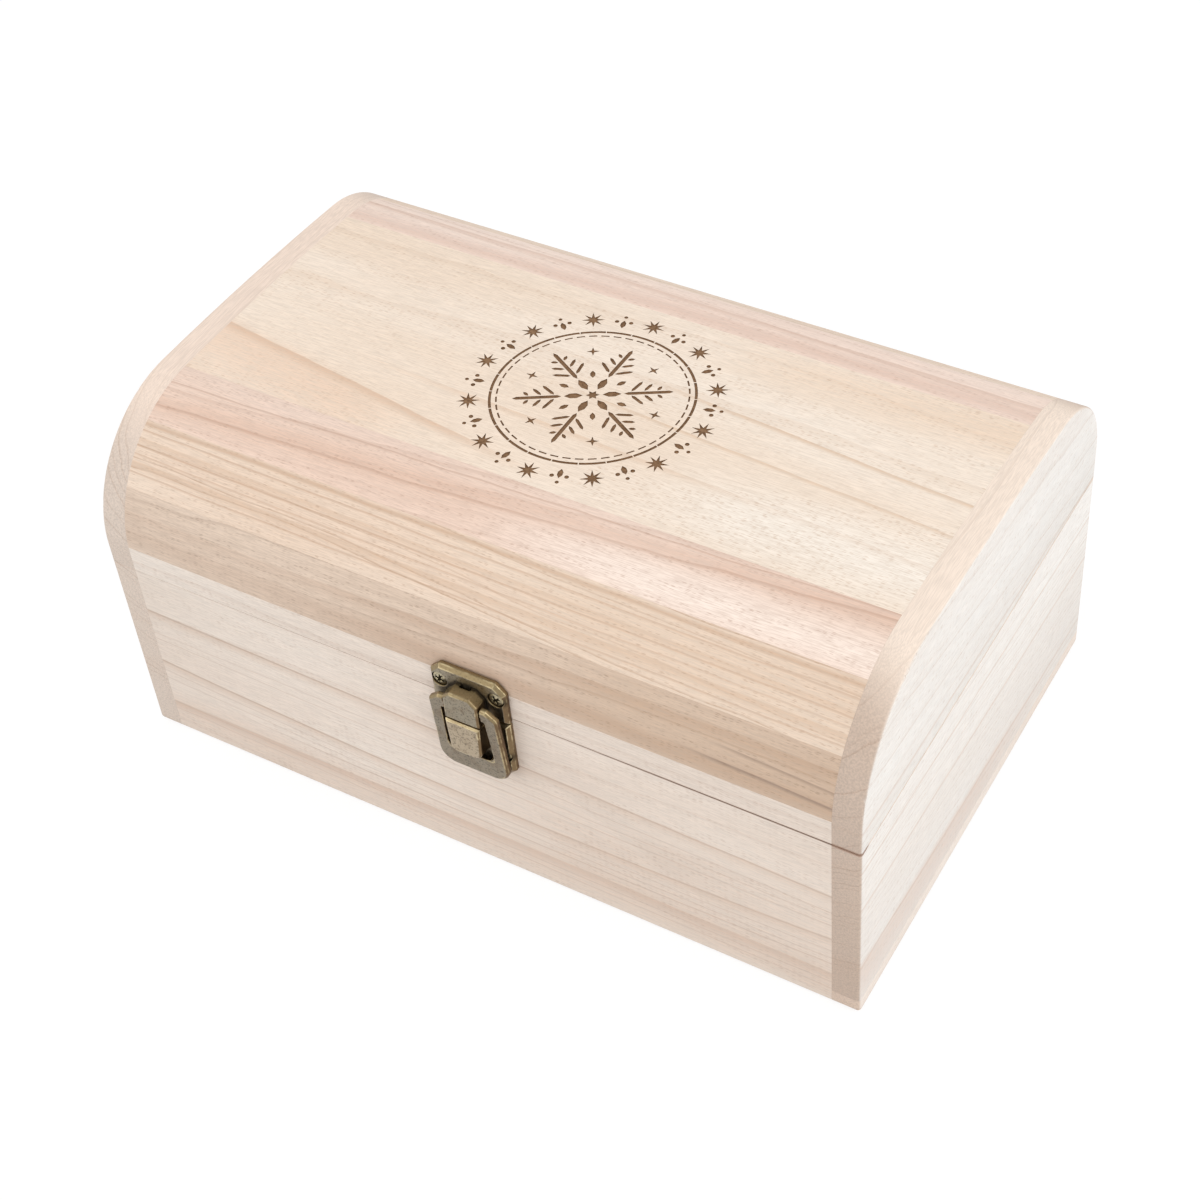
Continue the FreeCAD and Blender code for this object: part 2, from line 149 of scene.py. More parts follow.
# %% Helpers for groups and materials
def new_group(kind, name, inputs, outputs):
    """A node group with named sockets, and its two end nodes."""
    tree = bpy.data.node_groups.new(name, kind)
    for label, socket, value in inputs:
        made = tree.interface.new_socket(label, in_out="INPUT", socket_type="NodeSocket" + socket)
        if value is not None:
            made.default_value = value
    for label, socket in outputs:
        tree.interface.new_socket(label, in_out="OUTPUT", socket_type="NodeSocket" + socket)
    return tree, tree.nodes.new("NodeGroupInput").outputs, tree.nodes.new("NodeGroupOutput")


def new_material(name):
    """A material with one Principled shader, and its tree."""
    material = bpy.data.materials.new(name)
    material.use_nodes = True
    return material, material.node_tree, material.node_tree.nodes["Principled BSDF"]


print("group and material helpers ready")

# %% [markdown]
# ## The room
# The chest stands on a white sweep under soft light. One large lamp stands to the right and above and a
# weaker one to the front left, so the right end and the top are brightest and the front darkens a little
# towards its right. The world fills in evenly. The floor is seen white through Light Path, for the camera
# and for reflections, and still takes the chest's shadow.

# %% Soft light from the room and two large lamps
scene = bpy.context.scene
scene.view_settings.view_transform = "Standard"


def seen_directly(tree):
    """One where a ray comes from the camera, a reflection or clear matter, and otherwise nought."""
    path = put(tree, "ShaderNodeLightPath").outputs
    seen = maths(tree, "MAXIMUM", path["Is Camera Ray"], path["Is Glossy Ray"])
    return maths(tree, "MAXIMUM", seen, path["Is Transmission Ray"])


room_light = 0.78
world = bpy.data.worlds.new("white_room")
scene.world = world
world.use_nodes = True
strength = fade(world.node_tree, seen_directly(world.node_tree), 0.0, 1.0, room_light, 1.0)
background = world.node_tree.nodes["Background"]
feed(world.node_tree, background, {"Strength": strength, "Color": (1, 1, 1, 1)})


def soft_lamp(name, direction, distance, side, power):
    """A square lamp that looks at the chest from a direction."""
    lamp = bpy.data.lights.new(name, "AREA")
    lamp.shape = "SQUARE"
    lamp.size = side
    lamp.energy = power
    lamp.use_shadow = True
    obj = bpy.data.objects.new(name, lamp)
    scene.collection.objects.link(obj)
    obj.location = Vector(direction).normalized() * distance
    obj.rotation_euler = obj.location.to_track_quat("Z", "Y").to_euler()
    return obj


key_lamp = soft_lamp("key_lamp", (0.75, -0.2, 0.63), distance=2.0, side=1.6, power=10.5)
fill_lamp = soft_lamp("fill_lamp", (-0.62, -0.62, 0.43), distance=1.0, side=0.9, power=1.75)
print("lamps at", [[round(value, 2) for value in lamp.location] for lamp in (key_lamp, fill_lamp)])

# %% White floor that keeps a faint shadow
floor_side, floor_drop = 24.0, 0.1 * mm
bounce_grey, shadow_grey, floor_glow = (0.8, 0.8, 0.8, 1), (0.24, 0.24, 0.24, 1), 0.8
floor_mesh = bpy.data.meshes.new("white_floor")
half = floor_side / 2
floor_corners = [(x, y, -floor_drop) for x, y in ((-half, -half), (half, -half), (half, half), (-half, half))]
floor_mesh.from_pydata(floor_corners, [], [(0, 1, 2, 3)])
white_floor = bpy.data.objects.new("white_floor", floor_mesh)
scene.collection.objects.link(white_floor)
white_floor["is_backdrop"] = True

floor_paint, tree, principled = new_material("white_sweep")
tree.nodes.remove(principled)
bounce = put(tree, "ShaderNodeBsdfDiffuse", {"Color": bounce_grey})
shadow = put(tree, "ShaderNodeBsdfDiffuse", {"Color": shadow_grey})
glow = put(tree, "ShaderNodeEmission", {"Color": (1, 1, 1, 1), "Strength": floor_glow})
seen_white = put(tree, "ShaderNodeAddShader", {0: shadow.outputs[0], 1: glow.outputs[0]})
inputs = {0: seen_directly(tree), 1: bounce.outputs[0], 2: seen_white.outputs[0]}
mixed = put(tree, "ShaderNodeMixShader", inputs)
feed(tree, tree.nodes["Material Output"], {"Surface": mixed.outputs[0]})
floor_mesh.materials.append(floor_paint)
print("floor", floor_side, "m square")

# %% [markdown]
# ## The camera
# The view was found by fitting the chest's outline: where it looks from round the chest and above it, how it
# is rolled, and where the chest's origin lies in the view. Those few numbers give the camera's own axes.

# %% Camera at the photograph's angle
azimuth, elevation, roll = (math.radians(angle) for angle in (34.2664, 45.6293, -5.9168))
origin_in_view = Vector((6.842, -30.648, 905.759)) * mm
sensor, focal_share = 36.0, 1.941375

backward = Vector((math.sin(azimuth) * math.cos(elevation), -math.cos(azimuth) * math.cos(elevation),
                   math.sin(elevation)))
level_right = Vector((0, 0, 1)).cross(backward).normalized()
level_up = backward.cross(level_right)
right = math.cos(roll) * level_right + math.sin(roll) * level_up
up = backward.cross(right)
camera_data = bpy.data.cameras.new("camera")
camera_data.sensor_width = sensor
camera_data.lens = sensor * focal_share
camera = bpy.data.objects.new("camera", camera_data)
scene.collection.objects.link(camera)
spot = backward * origin_in_view.z - right * origin_in_view.x - up * origin_in_view.y
camera.matrix_world = Matrix.Translation(spot) @ Matrix((right, up, backward)).transposed().to_4x4()
scene.camera = camera
print("camera", [round(value, 3) for value in spot], "lens", round(camera_data.lens, 2))

# %% [markdown]
# ## Paulownia, as a solid
# Paulownia is pale and soft, with clear growth rings, open pores that show as short dashes along the grain,
# and rosy or brown bands of heartwood. A flat picture of grain would not match at the edges of a board, so
# the grain is a solid: rings round a pith line, cut by whatever face shows. Each board has its own frame
# (along the grain, across it, out of the face), so the end of a board shows end grain of itself.

# %% Sockets of the grain group
grain_group, given, result = new_group(
    "ShaderNodeTree", "paulownia_grain",
    [("Place", "Vector", None), ("Facing", "Vector", None), ("Centre", "Vector", None),
     ("Turn", "Vector", None), ("Pith", "Vector", (0, 0, -0.05)), ("Lean", "Vector", (0, 0, 0)),
     ("Ring width", "Float", 0.006), ("Wander", "Float", 0.003), ("Seed", "Float", 0.0)],
    [("Along", "Float"), ("Across", "Float"), ("Lines", "Float"), ("Ring tone", "Float"), ("Drift", "Float"),
     ("Fibre", "Float"), ("Pores", "Float"), ("End", "Float"), ("Edge", "Float"), ("Depth", "Float")],
)


def stretched(tree, place, seed, stretch, detail=2.0):
    """Noise drawn out along the board."""
    return noise(tree, vectors(tree, "MULTIPLY_ADD", place, stretch, seed), 1.0, detail)


print("grain group with", len(grain_group.interface.items_tree), "sockets")

# %% Grain group
def build_grain(tree):
    def in_board(vector):
        turned = {"Vector": vector, "Rotation": given["Turn"]}
        return put(tree, "ShaderNodeVectorRotate", turned, rotation_type="EULER_XYZ").outputs[0]

    place = in_board(vectors(tree, "SUBTRACT", given["Place"], given["Centre"]))
    along, across, depth = split(tree, place)
    end_on, edge_on, _ = split(tree, in_board(given["Facing"]))
    seed = times(tree, given["Seed"], 3.7)

    # The pith may lean along the board, and slow noise makes the rings wander round it.
    drift = stretched(tree, place, seed, (5, 26, 26), 3.0)
    wave = stretched(tree, place, seed, (22, 150, 150))
    pith_here = vectors(tree, "MULTIPLY_ADD", given["Lean"], along, given["Pith"])
    _, off_across, off_depth = split(tree, vectors(tree, "SUBTRACT", place, pith_here))
    squares = maths(tree, "MULTIPLY_ADD", off_across, off_across, times(tree, off_depth, off_depth))
    slow, quick = maths(tree, "SUBTRACT", drift, 0.5), maths(tree, "SUBTRACT", wave, 0.5)
    swing = maths(tree, "MULTIPLY_ADD", quick, 0.2, slow)
    radius = maths(tree, "MULTIPLY_ADD", swing, given["Wander"], maths(tree, "SQRT", squares))

    # Each ring has its own chance of being a strong one, and ends in a dark line of late wood.
    ring = maths(tree, "DIVIDE", radius, given["Ring width"])
    within = maths(tree, "FRACT", ring)
    number = maths(tree, "ADD", maths(tree, "FLOOR", ring), seed)
    chance = put(tree, "ShaderNodeTexWhiteNoise", {"W": number}, noise_dimensions="1D").outputs["Value"]
    late = times(tree, fade(tree, within, 0.66, 0.96), fade(tree, within, 0.96, 1.0, 1.0, 0.0))
    fibre = stretched(tree, place, seed, (160, 3000, 3000))
    lines = times(tree, late, fade(tree, chance, 0.3, 1.0))
    lines = times(tree, lines, fade(tree, fibre, 0.35, 0.6, 0.3, 1.0))

    # Pores are long cells. Only some are open, and more of them towards the late wood.
    cells = {"Vector": vectors(tree, "MULTIPLY_ADD", place, (400, 2700, 2700), seed), "Scale": 1.0}
    pore = put(tree, "ShaderNodeTexVoronoi", cells).outputs
    is_open = fade(tree, split(tree, pore["Color"])[0], 0.4, 0.75)
    pores = times(tree, fade(tree, pore["Distance"], 0.2, 0.5, 1.0, 0.0), is_open)
    pores = times(tree, pores, fade(tree, within, 0.2, 0.9, 0.35, 1.0))
    feed(tree, result, {
        "Along": along, "Across": across, "Depth": depth, "Lines": lines, "Ring tone": chance, "Drift": drift,
        "Fibre": fibre, "Pores": pores, "End": maths(tree, "ABSOLUTE", end_on),
        "Edge": maths(tree, "ABSOLUTE", edge_on)})


build_grain(grain_group)
print("grain group of", len(grain_group.nodes), "nodes")

# %% [markdown]
# ## Bands of heartwood
# The eye knows a board by its few strong marks: a thin dark growth line with a soft brown band on one side.
# Those aren't left to chance here. A second group draws one such band along the board, with its height, its
# slope and bow, and how far it fades above and below. A sharp edge on one side is a growth line.

# %% Heartwood band group
band_group, given, result = new_group(
    "ShaderNodeTree", "heartwood_band",
    [("Along", "Float", 0.0), ("Across", "Float", 0.0), ("Height", "Float", 0.0), ("Slope", "Float", 0.0),
     ("Bow", "Float", 0.0), ("Above", "Float", 0.005), ("Below", "Float", 0.005), ("Wobble", "Float", 0.001),
     ("Middle", "Float", 0.0), ("Reach", "Float", 1.0), ("Seed", "Float", 0.0)],
    [("Mask", "Float")],
)


def build_band(tree):
    along, across = given["Along"], given["Across"]
    ripple = noise(tree, joined(tree, along, given["Seed"], times(tree, across, 0.6)), 32.0, 3.0)
    bend = maths(tree, "MULTIPLY_ADD", given["Bow"], along, given["Slope"])
    line = maths(tree, "MULTIPLY_ADD", bend, along, given["Height"])
    line = maths(tree, "MULTIPLY_ADD", maths(tree, "SUBTRACT", ripple, 0.5), given["Wobble"], line)
    off = maths(tree, "SUBTRACT", across, line)
    above = fade(tree, maths(tree, "DIVIDE", off, given["Above"]), 0.0, 1.0, 1.0, 0.0)
    below = fade(tree, maths(tree, "DIVIDE", off, given["Below"]), -1.0, 0.0)
    away = maths(tree, "ABSOLUTE", maths(tree, "SUBTRACT", along, given["Middle"]))
    ends = fade(tree, maths(tree, "DIVIDE", away, given["Reach"]), 0.5, 1.0, 1.0, 0.0)
    feed(tree, result, {"Mask": times(tree, times(tree, above, below), ends)})


build_band(band_group)
print("band group of", len(band_group.nodes), "nodes")

# %% [markdown]
# ## One recipe for every board
# All boards are the same wood, sanded and left bare, so one recipe mixes them: a pale and a deeper tone, the
# growth lines, the bands that this board shows, the fibre and the pores. Each board gives its own frame and
# its own colours. Bare wood is dull, and the open pores make it slightly rough to the touch.

# %% A board's frame and a band's facts
def board_turn(along, outward):
    """The turn that lays a board's grain along the first direction, with its face to the second."""
    along, outward = Vector(along), Vector(outward)
    return tuple(Matrix((along, outward.cross(along), outward)).to_euler("XYZ"))


def band(height, slope=0.0, bow=0.0, above=5.0, below=5.0, wobble=1.0, middle=0.0, reach=1000.0):
    """A band's facts in millimetres: height and slope over the board's whole length, bow at its ends."""
    half_run = 150.0
    sizes = {"Height": height, "Above": above, "Below": below, "Wobble": wobble, "Middle": middle,
             "Reach": reach}
    facts = {label: size * mm for label, size in sizes.items()}
    return {**facts, "Slope": slope / (2 * half_run), "Bow": bow / half_run ** 2 / mm}


print("a level band:", band(0.0))

# %% Board recipe
# A warm brown painted shade for where the saw cut opens.
cut_gap_shade = srgb(140, 94, 66)
end_grain_tone = srgb(196, 172, 150)
pore_depth = 0.15 * mm


def paulownia(name, centre, along, outward, pale, deep, line, bands=(), pith=(0, 0, -0.06), lean=(0, 0, 0),
              ring=0.006, wander=0.012, seed=0.0, lines=0.5, tones=0.3, fibres=0.08, pores=0.5,
              end_tone=end_grain_tone, edge_tone=None, cut=None):
    """A board's own material: its frame, its tones and its bands, each band with a colour and a share."""
    material, tree, shader = new_material(name)
    here = put(tree, "ShaderNodeTexCoord").outputs
    values = {"Place": here["Object"], "Facing": here["Normal"], "Centre": centre,
              "Turn": board_turn(along, outward), "Pith": pith, "Lean": lean, "Ring width": ring,
              "Wander": wander, "Seed": seed}
    grain = put(tree, "ShaderNodeGroup", values, node_tree=grain_group).outputs

    def band_mask(facts, number):
        inputs = {"Along": grain["Along"], "Across": grain["Across"], "Seed": seed + number * 1.7, **facts}
        return put(tree, "ShaderNodeGroup", inputs, node_tree=band_group).outputs["Mask"]

    colour = tint(tree, fade(tree, grain["Drift"], 0.3, 0.7), pale, deep)
    colour = tint(tree, times(tree, grain["Ring tone"], tones), colour, deep)
    colour = tint(tree, times(tree, grain["Lines"], lines), colour, line)
    for number, (shade, share, facts) in enumerate(bands):
        rough_share = fade(tree, grain["Fibre"], 0.35, 0.6, share * 0.65, share * 1.1)
        colour = tint(tree, times(tree, band_mask(facts, number), rough_share), colour, shade)
    streak = fade(tree, grain["Fibre"], 0.3, 0.7, 1.0 - fibres, 1.0 + fibres)
    colour = tint(tree, 1.0, colour, streak, "MULTIPLY")
    colour = tint(tree, times(tree, grain["Pores"], pores), colour, line)

    # The narrow edge of a board may be warmer than its face, and its sawn end shows flecked end grain.
    if edge_tone:
        warm = tint(tree, times(tree, grain["Lines"], 0.4), edge_tone, line)
        warm = tint(tree, 1.0, warm, streak, "MULTIPLY")
        colour = tint(tree, fade(tree, grain["Edge"], 0.3, 0.9, 0.0, 0.9), colour, warm)
    ring_tone = tint(tree, 1.0, end_tone, line, "MULTIPLY")
    end_grain = tint(tree, times(tree, grain["Lines"], 0.5), end_tone, ring_tone)
    fleck = fade(tree, noise(tree, here["Object"], 1500.0, 2.0), 0.3, 0.7, 0.88, 1.1)
    end_grain = tint(tree, 1.0, end_grain, fleck, "MULTIPLY")
    colour = tint(tree, fade(tree, grain["End"], 0.2, 0.8, 0.0, 0.9), colour, end_grain)

    # Where the saw cut opens, a painted shade in warm brown darkens its lips just below the face.
    if cut:
        lip_depth, facts = cut
        lip_shade = fade(tree, grain["Depth"], -lip_depth * mm, -lip_depth / 3 * mm, 0.0, 0.85)
        colour = tint(tree, times(tree, band_mask(facts, 0), lip_shade), colour, cut_gap_shade)

    relief = maths(tree, "MULTIPLY_ADD", grain["Pores"], -0.7, grain["Fibre"])
    bump = put(tree, "ShaderNodeBump", {"Strength": 0.25, "Distance": pore_depth, "Height": relief})
    feed(tree, shader, {
        "Base Color": colour, "Roughness": fade(tree, grain["Fibre"], 0.2, 0.8, 0.5, 0.66),
        "Normal": bump.outputs[0], "Specular IOR Level": 0.25})
    return material


print("board recipe ready")

# %% [markdown]
# ## The front board
# One board makes the chest's front and the low rail of the lid above the saw cut, so both share a material in
# one frame. It is pale beige, with a clear growth line that falls to the right, another shaped like a smile,
# and a warmer foot with several fine lines.

# %% Front and back boards
x_axis, y_axis, z_axis = (1, 0, 0), (0, 1, 0), (0, 0, 1)
front_y, back_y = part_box("body_front")[0].y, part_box("body_back")[1].y
board_middle = 50 * mm
growth_line, soft_band = srgb(190, 164, 145), srgb(214, 188, 168)
beige_tones = (srgb(240, 229, 218), srgb(234, 219, 206), growth_line)
front_wood = paulownia(
    "front_board_wood", (0, front_y, board_middle), x_axis, (0, -1, 0), *beige_tones,
    bands=[(srgb(226, 204, 187), 0.6, band(-37, above=14, below=20, wobble=3)),
           (soft_band, 0.45, band(12.5, slope=-7, above=0.8, below=6)),
           (growth_line, 0.8, band(12.5, slope=-7, above=0.4, below=1.0)),
           (soft_band, 0.5, band(-18, slope=-2.5, bow=6, above=0.8, below=6)),
           (growth_line, 0.8, band(-18, slope=-2.5, bow=6, above=0.4, below=1.0)),
           (growth_line, 0.5, band(-6, slope=-5, bow=2, above=0.4, below=0.8, middle=70, reach=150)),
           (growth_line, 0.6, band(-29, slope=-3, bow=3, above=0.4, below=0.9, middle=60, reach=190)),
           (srgb(208, 180, 160), 0.6, band(-34, slope=1, above=0.8, below=6)),
           (srgb(224, 202, 185), 0.5, band(-10, above=60, below=60, middle=150, reach=210))]
    + [(growth_line, 0.35, band(height, slope=-4, bow=bow, above=0.3, below=0.7, wobble=1.5))
       for height, bow in ((3, -1), (-2, 1), (-23, 5), (-26, 4), (-38, 2), (-41, 1))],
    pith=(0, -0.02, -0.09), lean=(0, -0.02, 0.03), ring=5.5 * mm, seed=1.0, lines=0.22,
    # Painted shade in the opened saw cut, strongest at the right end and fading out towards the middle.
    cut=(2.5, band(36.4, above=0.7, below=0.7, wobble=0, middle=150, reach=130)))
back_wood = paulownia(
    "back_board_wood", (0, back_y, board_middle), x_axis, y_axis, *beige_tones,
    bands=[(soft_band, 0.6, band(8, slope=5, above=0.8, below=9)),
           (soft_band, 0.6, band(-22, slope=-3, bow=-4, above=9, below=0.8))],
    pith=(0, 0.03, -0.08), lean=(0, 0.03, 0.02), ring=6 * mm, seed=2.0, lines=0.3)
print("front and back wood at y", round(front_y / mm, 2), round(back_y / mm, 2))

# %% [markdown]
# ## The staves round the shoulders
# Three narrow strips turn each shoulder. They come from different planks, which is half the charm of such a
# chest: the lowest is brown, the next straw yellow with many fine lines, the upper one rosy with a flame.
# Each stave's frame is turned to its own place on the shoulder, so its grain lies in its own face.

# %% Stave wood
front_radius, back_radius = 49.2 * mm, 41.2 * mm
crown_radius, crown_y = 1270 * mm, -42 * mm
crown_z = cad_box[1].z - crown_radius


def shoulder_middle(radius, face_y, side):
    """The middle of a shoulder's arc, which touches a wall and the crown; side is 1 at the back."""
    y = face_y - side * radius
    return Vector((0, y, crown_z + math.sqrt((crown_radius - radius) ** 2 - (y - crown_y) ** 2)))


front_middle = shoulder_middle(front_radius, front_y, -1)
back_middle = shoulder_middle(back_radius, back_y, 1)


def stave_frame(middle, radius, side, rise):
    """Centre and outward direction of a stave, by how many degrees it has turned from the wall."""
    turn = math.radians(rise)
    outward = Vector((0, side * math.cos(turn), math.sin(turn)))
    return tuple(middle + outward * radius), x_axis, tuple(outward)


brown_tones, brown_band = (srgb(224, 203, 184), srgb(211, 186, 165), srgb(152, 124, 103)), srgb(194, 164, 141)
straw_tones, straw_band = (srgb(242, 224, 206), srgb(234, 210, 189), srgb(184, 150, 122)), srgb(216, 186, 160)
straw_line, rose_line = srgb(190, 152, 122), srgb(192, 154, 131)
brown_wood = paulownia(
    "brown_stave_wood", *stave_frame(front_middle, front_radius, -1, 17), *brown_tones,
    bands=[(brown_band, 0.6, band(-6, slope=-3, above=5, below=9, wobble=3)),
           (srgb(138, 120, 112), 0.8, band(-1, slope=-12, above=0.5, below=1.8, middle=125, reach=45)),
           (srgb(146, 126, 116), 0.7, band(6, slope=-14, above=0.4, below=1.5, middle=130, reach=40)),
           (brown_band, 0.6, band(5, slope=4, above=1, below=6, wobble=2)),
           (srgb(236, 217, 200), 0.4, band(0, above=30, below=30, middle=-150, reach=150)),
           (srgb(196, 164, 134), 0.3, band(0, above=30, below=30, middle=150, reach=150))],
    pith=(0, -0.05, -0.04), lean=(0, 0.01, 0.02), ring=3.2 * mm, seed=3.0, lines=0.5)
straw_wood = paulownia(
    "straw_stave_wood", *stave_frame(front_middle, front_radius, -1, 46), *straw_tones,
    bands=[(straw_line, share, band(height, slope=-3, above=0.3, below=0.9, wobble=1.2))
           for height, share in ((7.8, 0.5), (2.0, 0.6), (-1.2, 0.4), (-7.5, 0.5))]
    + [(srgb(204, 170, 142), 0.7, band(11, slope=-1, above=1.6, below=1.4)),
       (straw_band, 0.6, band(-4, slope=-3, above=0.7, below=4)),
       (straw_band, 0.5, band(4, slope=-4, above=0.7, below=3)),
       (srgb(218, 190, 165), 0.4, band(0, above=30, below=30, middle=150, reach=190))],
    pith=(0, 0.06, -0.02), lean=(0, -0.03, 0), ring=2.4 * mm, seed=4.0, lines=0.75)
rose_wood = paulownia(
    "rose_stave_wood", *stave_frame(front_middle, front_radius, -1, 76),
    srgb(246, 225, 211), srgb(236, 208, 190), srgb(186, 150, 129),
    bands=[(srgb(226, 192, 171), 0.6, band(2, slope=16, above=6, below=8, wobble=4)),
           (rose_line, 0.5, band(0, slope=17, bow=2, above=0.4, below=1.6, wobble=3)),
           (rose_line, 0.5, band(8, slope=9, above=0.3, below=0.9, wobble=2)),
           (srgb(255, 240, 228), 0.7, band(-8, slope=4, above=14, below=12, middle=130, reach=150))],
    pith=(0, -0.04, -0.05), lean=(0, 0.05, 0.02), ring=4.5 * mm, seed=5.0, lines=0.3)
print("front shoulder round", [round(value / mm, 2) for value in front_middle[1:]])

# %% Wood of the back staves
back_rose_wood = paulownia(
    "back_rose_stave_wood", *stave_frame(back_middle, back_radius, 1, 74),
    srgb(253, 234, 221), srgb(246, 222, 207), srgb(194, 160, 140),
    bands=[(srgb(228, 198, 181), 0.7, band(-9, slope=2, above=7, below=6, wobble=2)),
           (srgb(212, 178, 158), 0.5, band(0, slope=-5, above=0.8, below=4, wobble=2))],
    pith=(0, 0.04, -0.05), lean=(0, -0.03, 0.02), ring=4 * mm, seed=6.0, lines=0.3)
back_straw_wood = paulownia(
    "back_straw_stave_wood", *stave_frame(back_middle, back_radius, 1, 45), *straw_tones,
    bands=[(straw_band, 0.6, band(3, slope=4, above=0.7, below=4))],
    pith=(0, 0.06, -0.03), lean=(0, 0.03, 0), ring=2.6 * mm, seed=7.0, lines=0.5)
back_brown_wood = paulownia(
    "back_brown_stave_wood", *stave_frame(back_middle, back_radius, 1, 16), *brown_tones,
    bands=[(brown_band, 0.6, band(-4, slope=3, above=6, below=8, wobble=3))],
    pith=(0, -0.05, -0.04), lean=(0, 0.02, 0.02), ring=3.2 * mm, seed=8.0, lines=0.5)
print("back shoulder round", [round(value / mm, 2) for value in back_middle[1:]])

# %% [markdown]
# ## Crown, ends and base
# The wide board on the crown is light straw with open pores, a rosy wedge at its front left and brown lines
# that fall away at the right. The two ends run front to back, so their front edges show end grain, which
# drinks light and looks darker. The base is a plain panel that is seen from inside and from below.

# %% Wood of the crown
crown_middle = (0, 3.6 * mm, cad_box[1].z)
crown_line = srgb(214, 180, 148)
crown_wood = paulownia(
    "crown_board_wood", crown_middle, x_axis, z_axis,
    srgb(251, 237, 222), srgb(244, 224, 204), srgb(198, 164, 134),
    bands=[(srgb(240, 210, 186), 0.7,
            band(-52, slope=-52, above=9, below=40, wobble=4, middle=-130, reach=95)),
           (srgb(216, 178, 148), 0.6,
            band(-44, slope=-44, above=0.6, below=5, wobble=2, middle=-100, reach=110)),
           (crown_line, 0.6, band(16, slope=-26, above=0.4, below=2.6, wobble=2, middle=110, reach=110)),
           (crown_line, 0.5, band(-2, slope=-22, above=0.4, below=2.2, wobble=2, middle=90, reach=120)),
           (srgb(224, 192, 164), 0.5,
            band(-22, slope=-14, above=0.5, below=3.6, wobble=2, middle=60, reach=160)),
           (srgb(255, 248, 238), 0.6, band(-34, above=26, below=26, wobble=4, middle=150, reach=130)),
           (srgb(238, 208, 180), 0.45, band(42, above=16, below=16, wobble=4, middle=130, reach=120))],
    pith=(0, -0.03, -0.11), lean=(0, -0.06, 0.02), ring=6.5 * mm, seed=9.0, lines=0.3)
print("crown wood at", round(crown_middle[2] / mm, 2))

# %% Wood of the ends
end_line = srgb(206, 184, 166)
end_tones = (srgb(250, 246, 241), srgb(244, 237, 230), end_line)
end_band, end_streak, end_growth = srgb(230, 206, 190), srgb(216, 190, 171), srgb(222, 202, 187)
end_middle = 60 * mm
front_corner = -97  # in millimetres along an end, as band takes it
right_frame = ((cad_box[1].x, 0, end_middle), y_axis, x_axis)
left_frame = ((cad_box[0].x, 0, end_middle), y_axis, (-1, 0, 0))
right_wood = paulownia(
    "right_end_wood", *right_frame, *end_tones,
    bands=[(end_band, 0.6, band(-42, slope=-18, above=6, below=34, wobble=5, middle=front_corner, reach=180)),
           (end_streak, 0.5,
            band(-40, slope=-18, above=0.4, below=2, wobble=3, middle=front_corner, reach=260))]
    + [(end_growth, 0.6, band(height, slope=slope, above=0.3, below=below, wobble=1.5))
       for height, slope, below in ((-8, -16, 2.2), (12, -15, 1.6), (32, -14, 2.2))],
    pith=(0, 0.10, -0.04), lean=(0, -0.09, 0.02), ring=2.6 * mm, seed=10.0, lines=0.4,
    end_tone=srgb(201, 178, 160), edge_tone=srgb(249, 230, 213),
    # Painted shade in the opened saw cut, only at the front corner.
    cut=(40, band(26.4, above=1.2, below=1.2, wobble=0, middle=front_corner, reach=7)))
left_wood = paulownia(
    "left_end_wood", *left_frame, *end_tones,
    bands=[(end_band, 0.6, band(30, slope=14, above=9, below=6, wobble=4)),
           (end_streak, 0.5, band(4, slope=12, above=5, below=0.7, wobble=3))],
    pith=(0, -0.09, -0.05), lean=(0, 0.07, 0.02), ring=2.8 * mm, seed=11.0, lines=0.4,
    end_tone=srgb(212, 195, 181), edge_tone=srgb(243, 221, 204))
strip_wood = paulownia(
    "foot_strip_wood", *right_frame, srgb(248, 238, 229), srgb(241, 227, 215), end_line,
    pith=(0, 0.10, -0.04), ring=2.6 * mm, seed=13.0, lines=0.4, end_tone=srgb(216, 193, 175))
print("end wood at x", [round(place[0] / mm, 2) for place, *_ in (left_frame, right_frame)])

# %% Wood of the base
base_band = srgb(206, 172, 140)
base_wood = paulownia(
    "base_panel_wood", (0, 0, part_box("base_panel")[1].z), x_axis, z_axis,
    srgb(234, 214, 190), srgb(224, 200, 172), srgb(176, 144, 114),
    bands=[(base_band, 0.5, band(20, slope=14, above=6, below=0.8, wobble=3)),
           (base_band, 0.5, band(-30, slope=-10, above=0.8, below=8, wobble=3))],
    pith=(0, 0.02, -0.12), lean=(0, 0.03, 0.05), ring=8 * mm, seed=12.0, lines=0.4)
print("base wood ready")

# %% [markdown]
# ## Boards with eased edges
# Sandpaper takes the knife edge off every board, and that tiny round is what makes a glued seam read as a
# seam. Each board is a merged copy of its solid with a narrow Bevel. Hardened normals keep the wide faces
# flat and the shoulders smooth. The bevel is applied, so a finished board is a plain mesh in place.

# %% From a shape to a piece
weld = 0.002 * mm


def merged_copy(node):
    """A solid's loose triangles merged, with its flat faces whole again."""
    shape = bmesh.new()
    shape.from_mesh(frame["nodes"][node].data)
    bmesh.ops.remove_doubles(shape, verts=shape.verts, dist=weld)
    bmesh.ops.dissolve_limit(shape, angle_limit=math.radians(0.2), verts=shape.verts, edges=shape.edges)
    return shape


def mesh_from(name, shape):
    """A mesh from a shape, which is freed."""
    mesh = bpy.data.meshes.new(name)
    shape.to_mesh(mesh)
    shape.free()
    return mesh


def piece_from(name, mesh, material):
    """A new object at the origin with one material."""
    mesh.materials.clear()
    mesh.materials.append(material)
    obj = bpy.data.objects.new(name, mesh)
    scene.collection.objects.link(obj)
    return obj


def apply_modifiers(obj):
    """Turn what the modifiers make into the object's own plain mesh."""
    graph = bpy.context.evaluated_depsgraph_get()
    mesh = bpy.data.meshes.new_from_object(obj.evaluated_get(graph))
    obj.modifiers.clear()
    obj.data = mesh
    return obj


def stands_for(obj, node):
    """The piece rides with its node's body and replaces the node."""
    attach(obj, body_of[node])
    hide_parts(node)
    return obj


print("piece helpers ready")

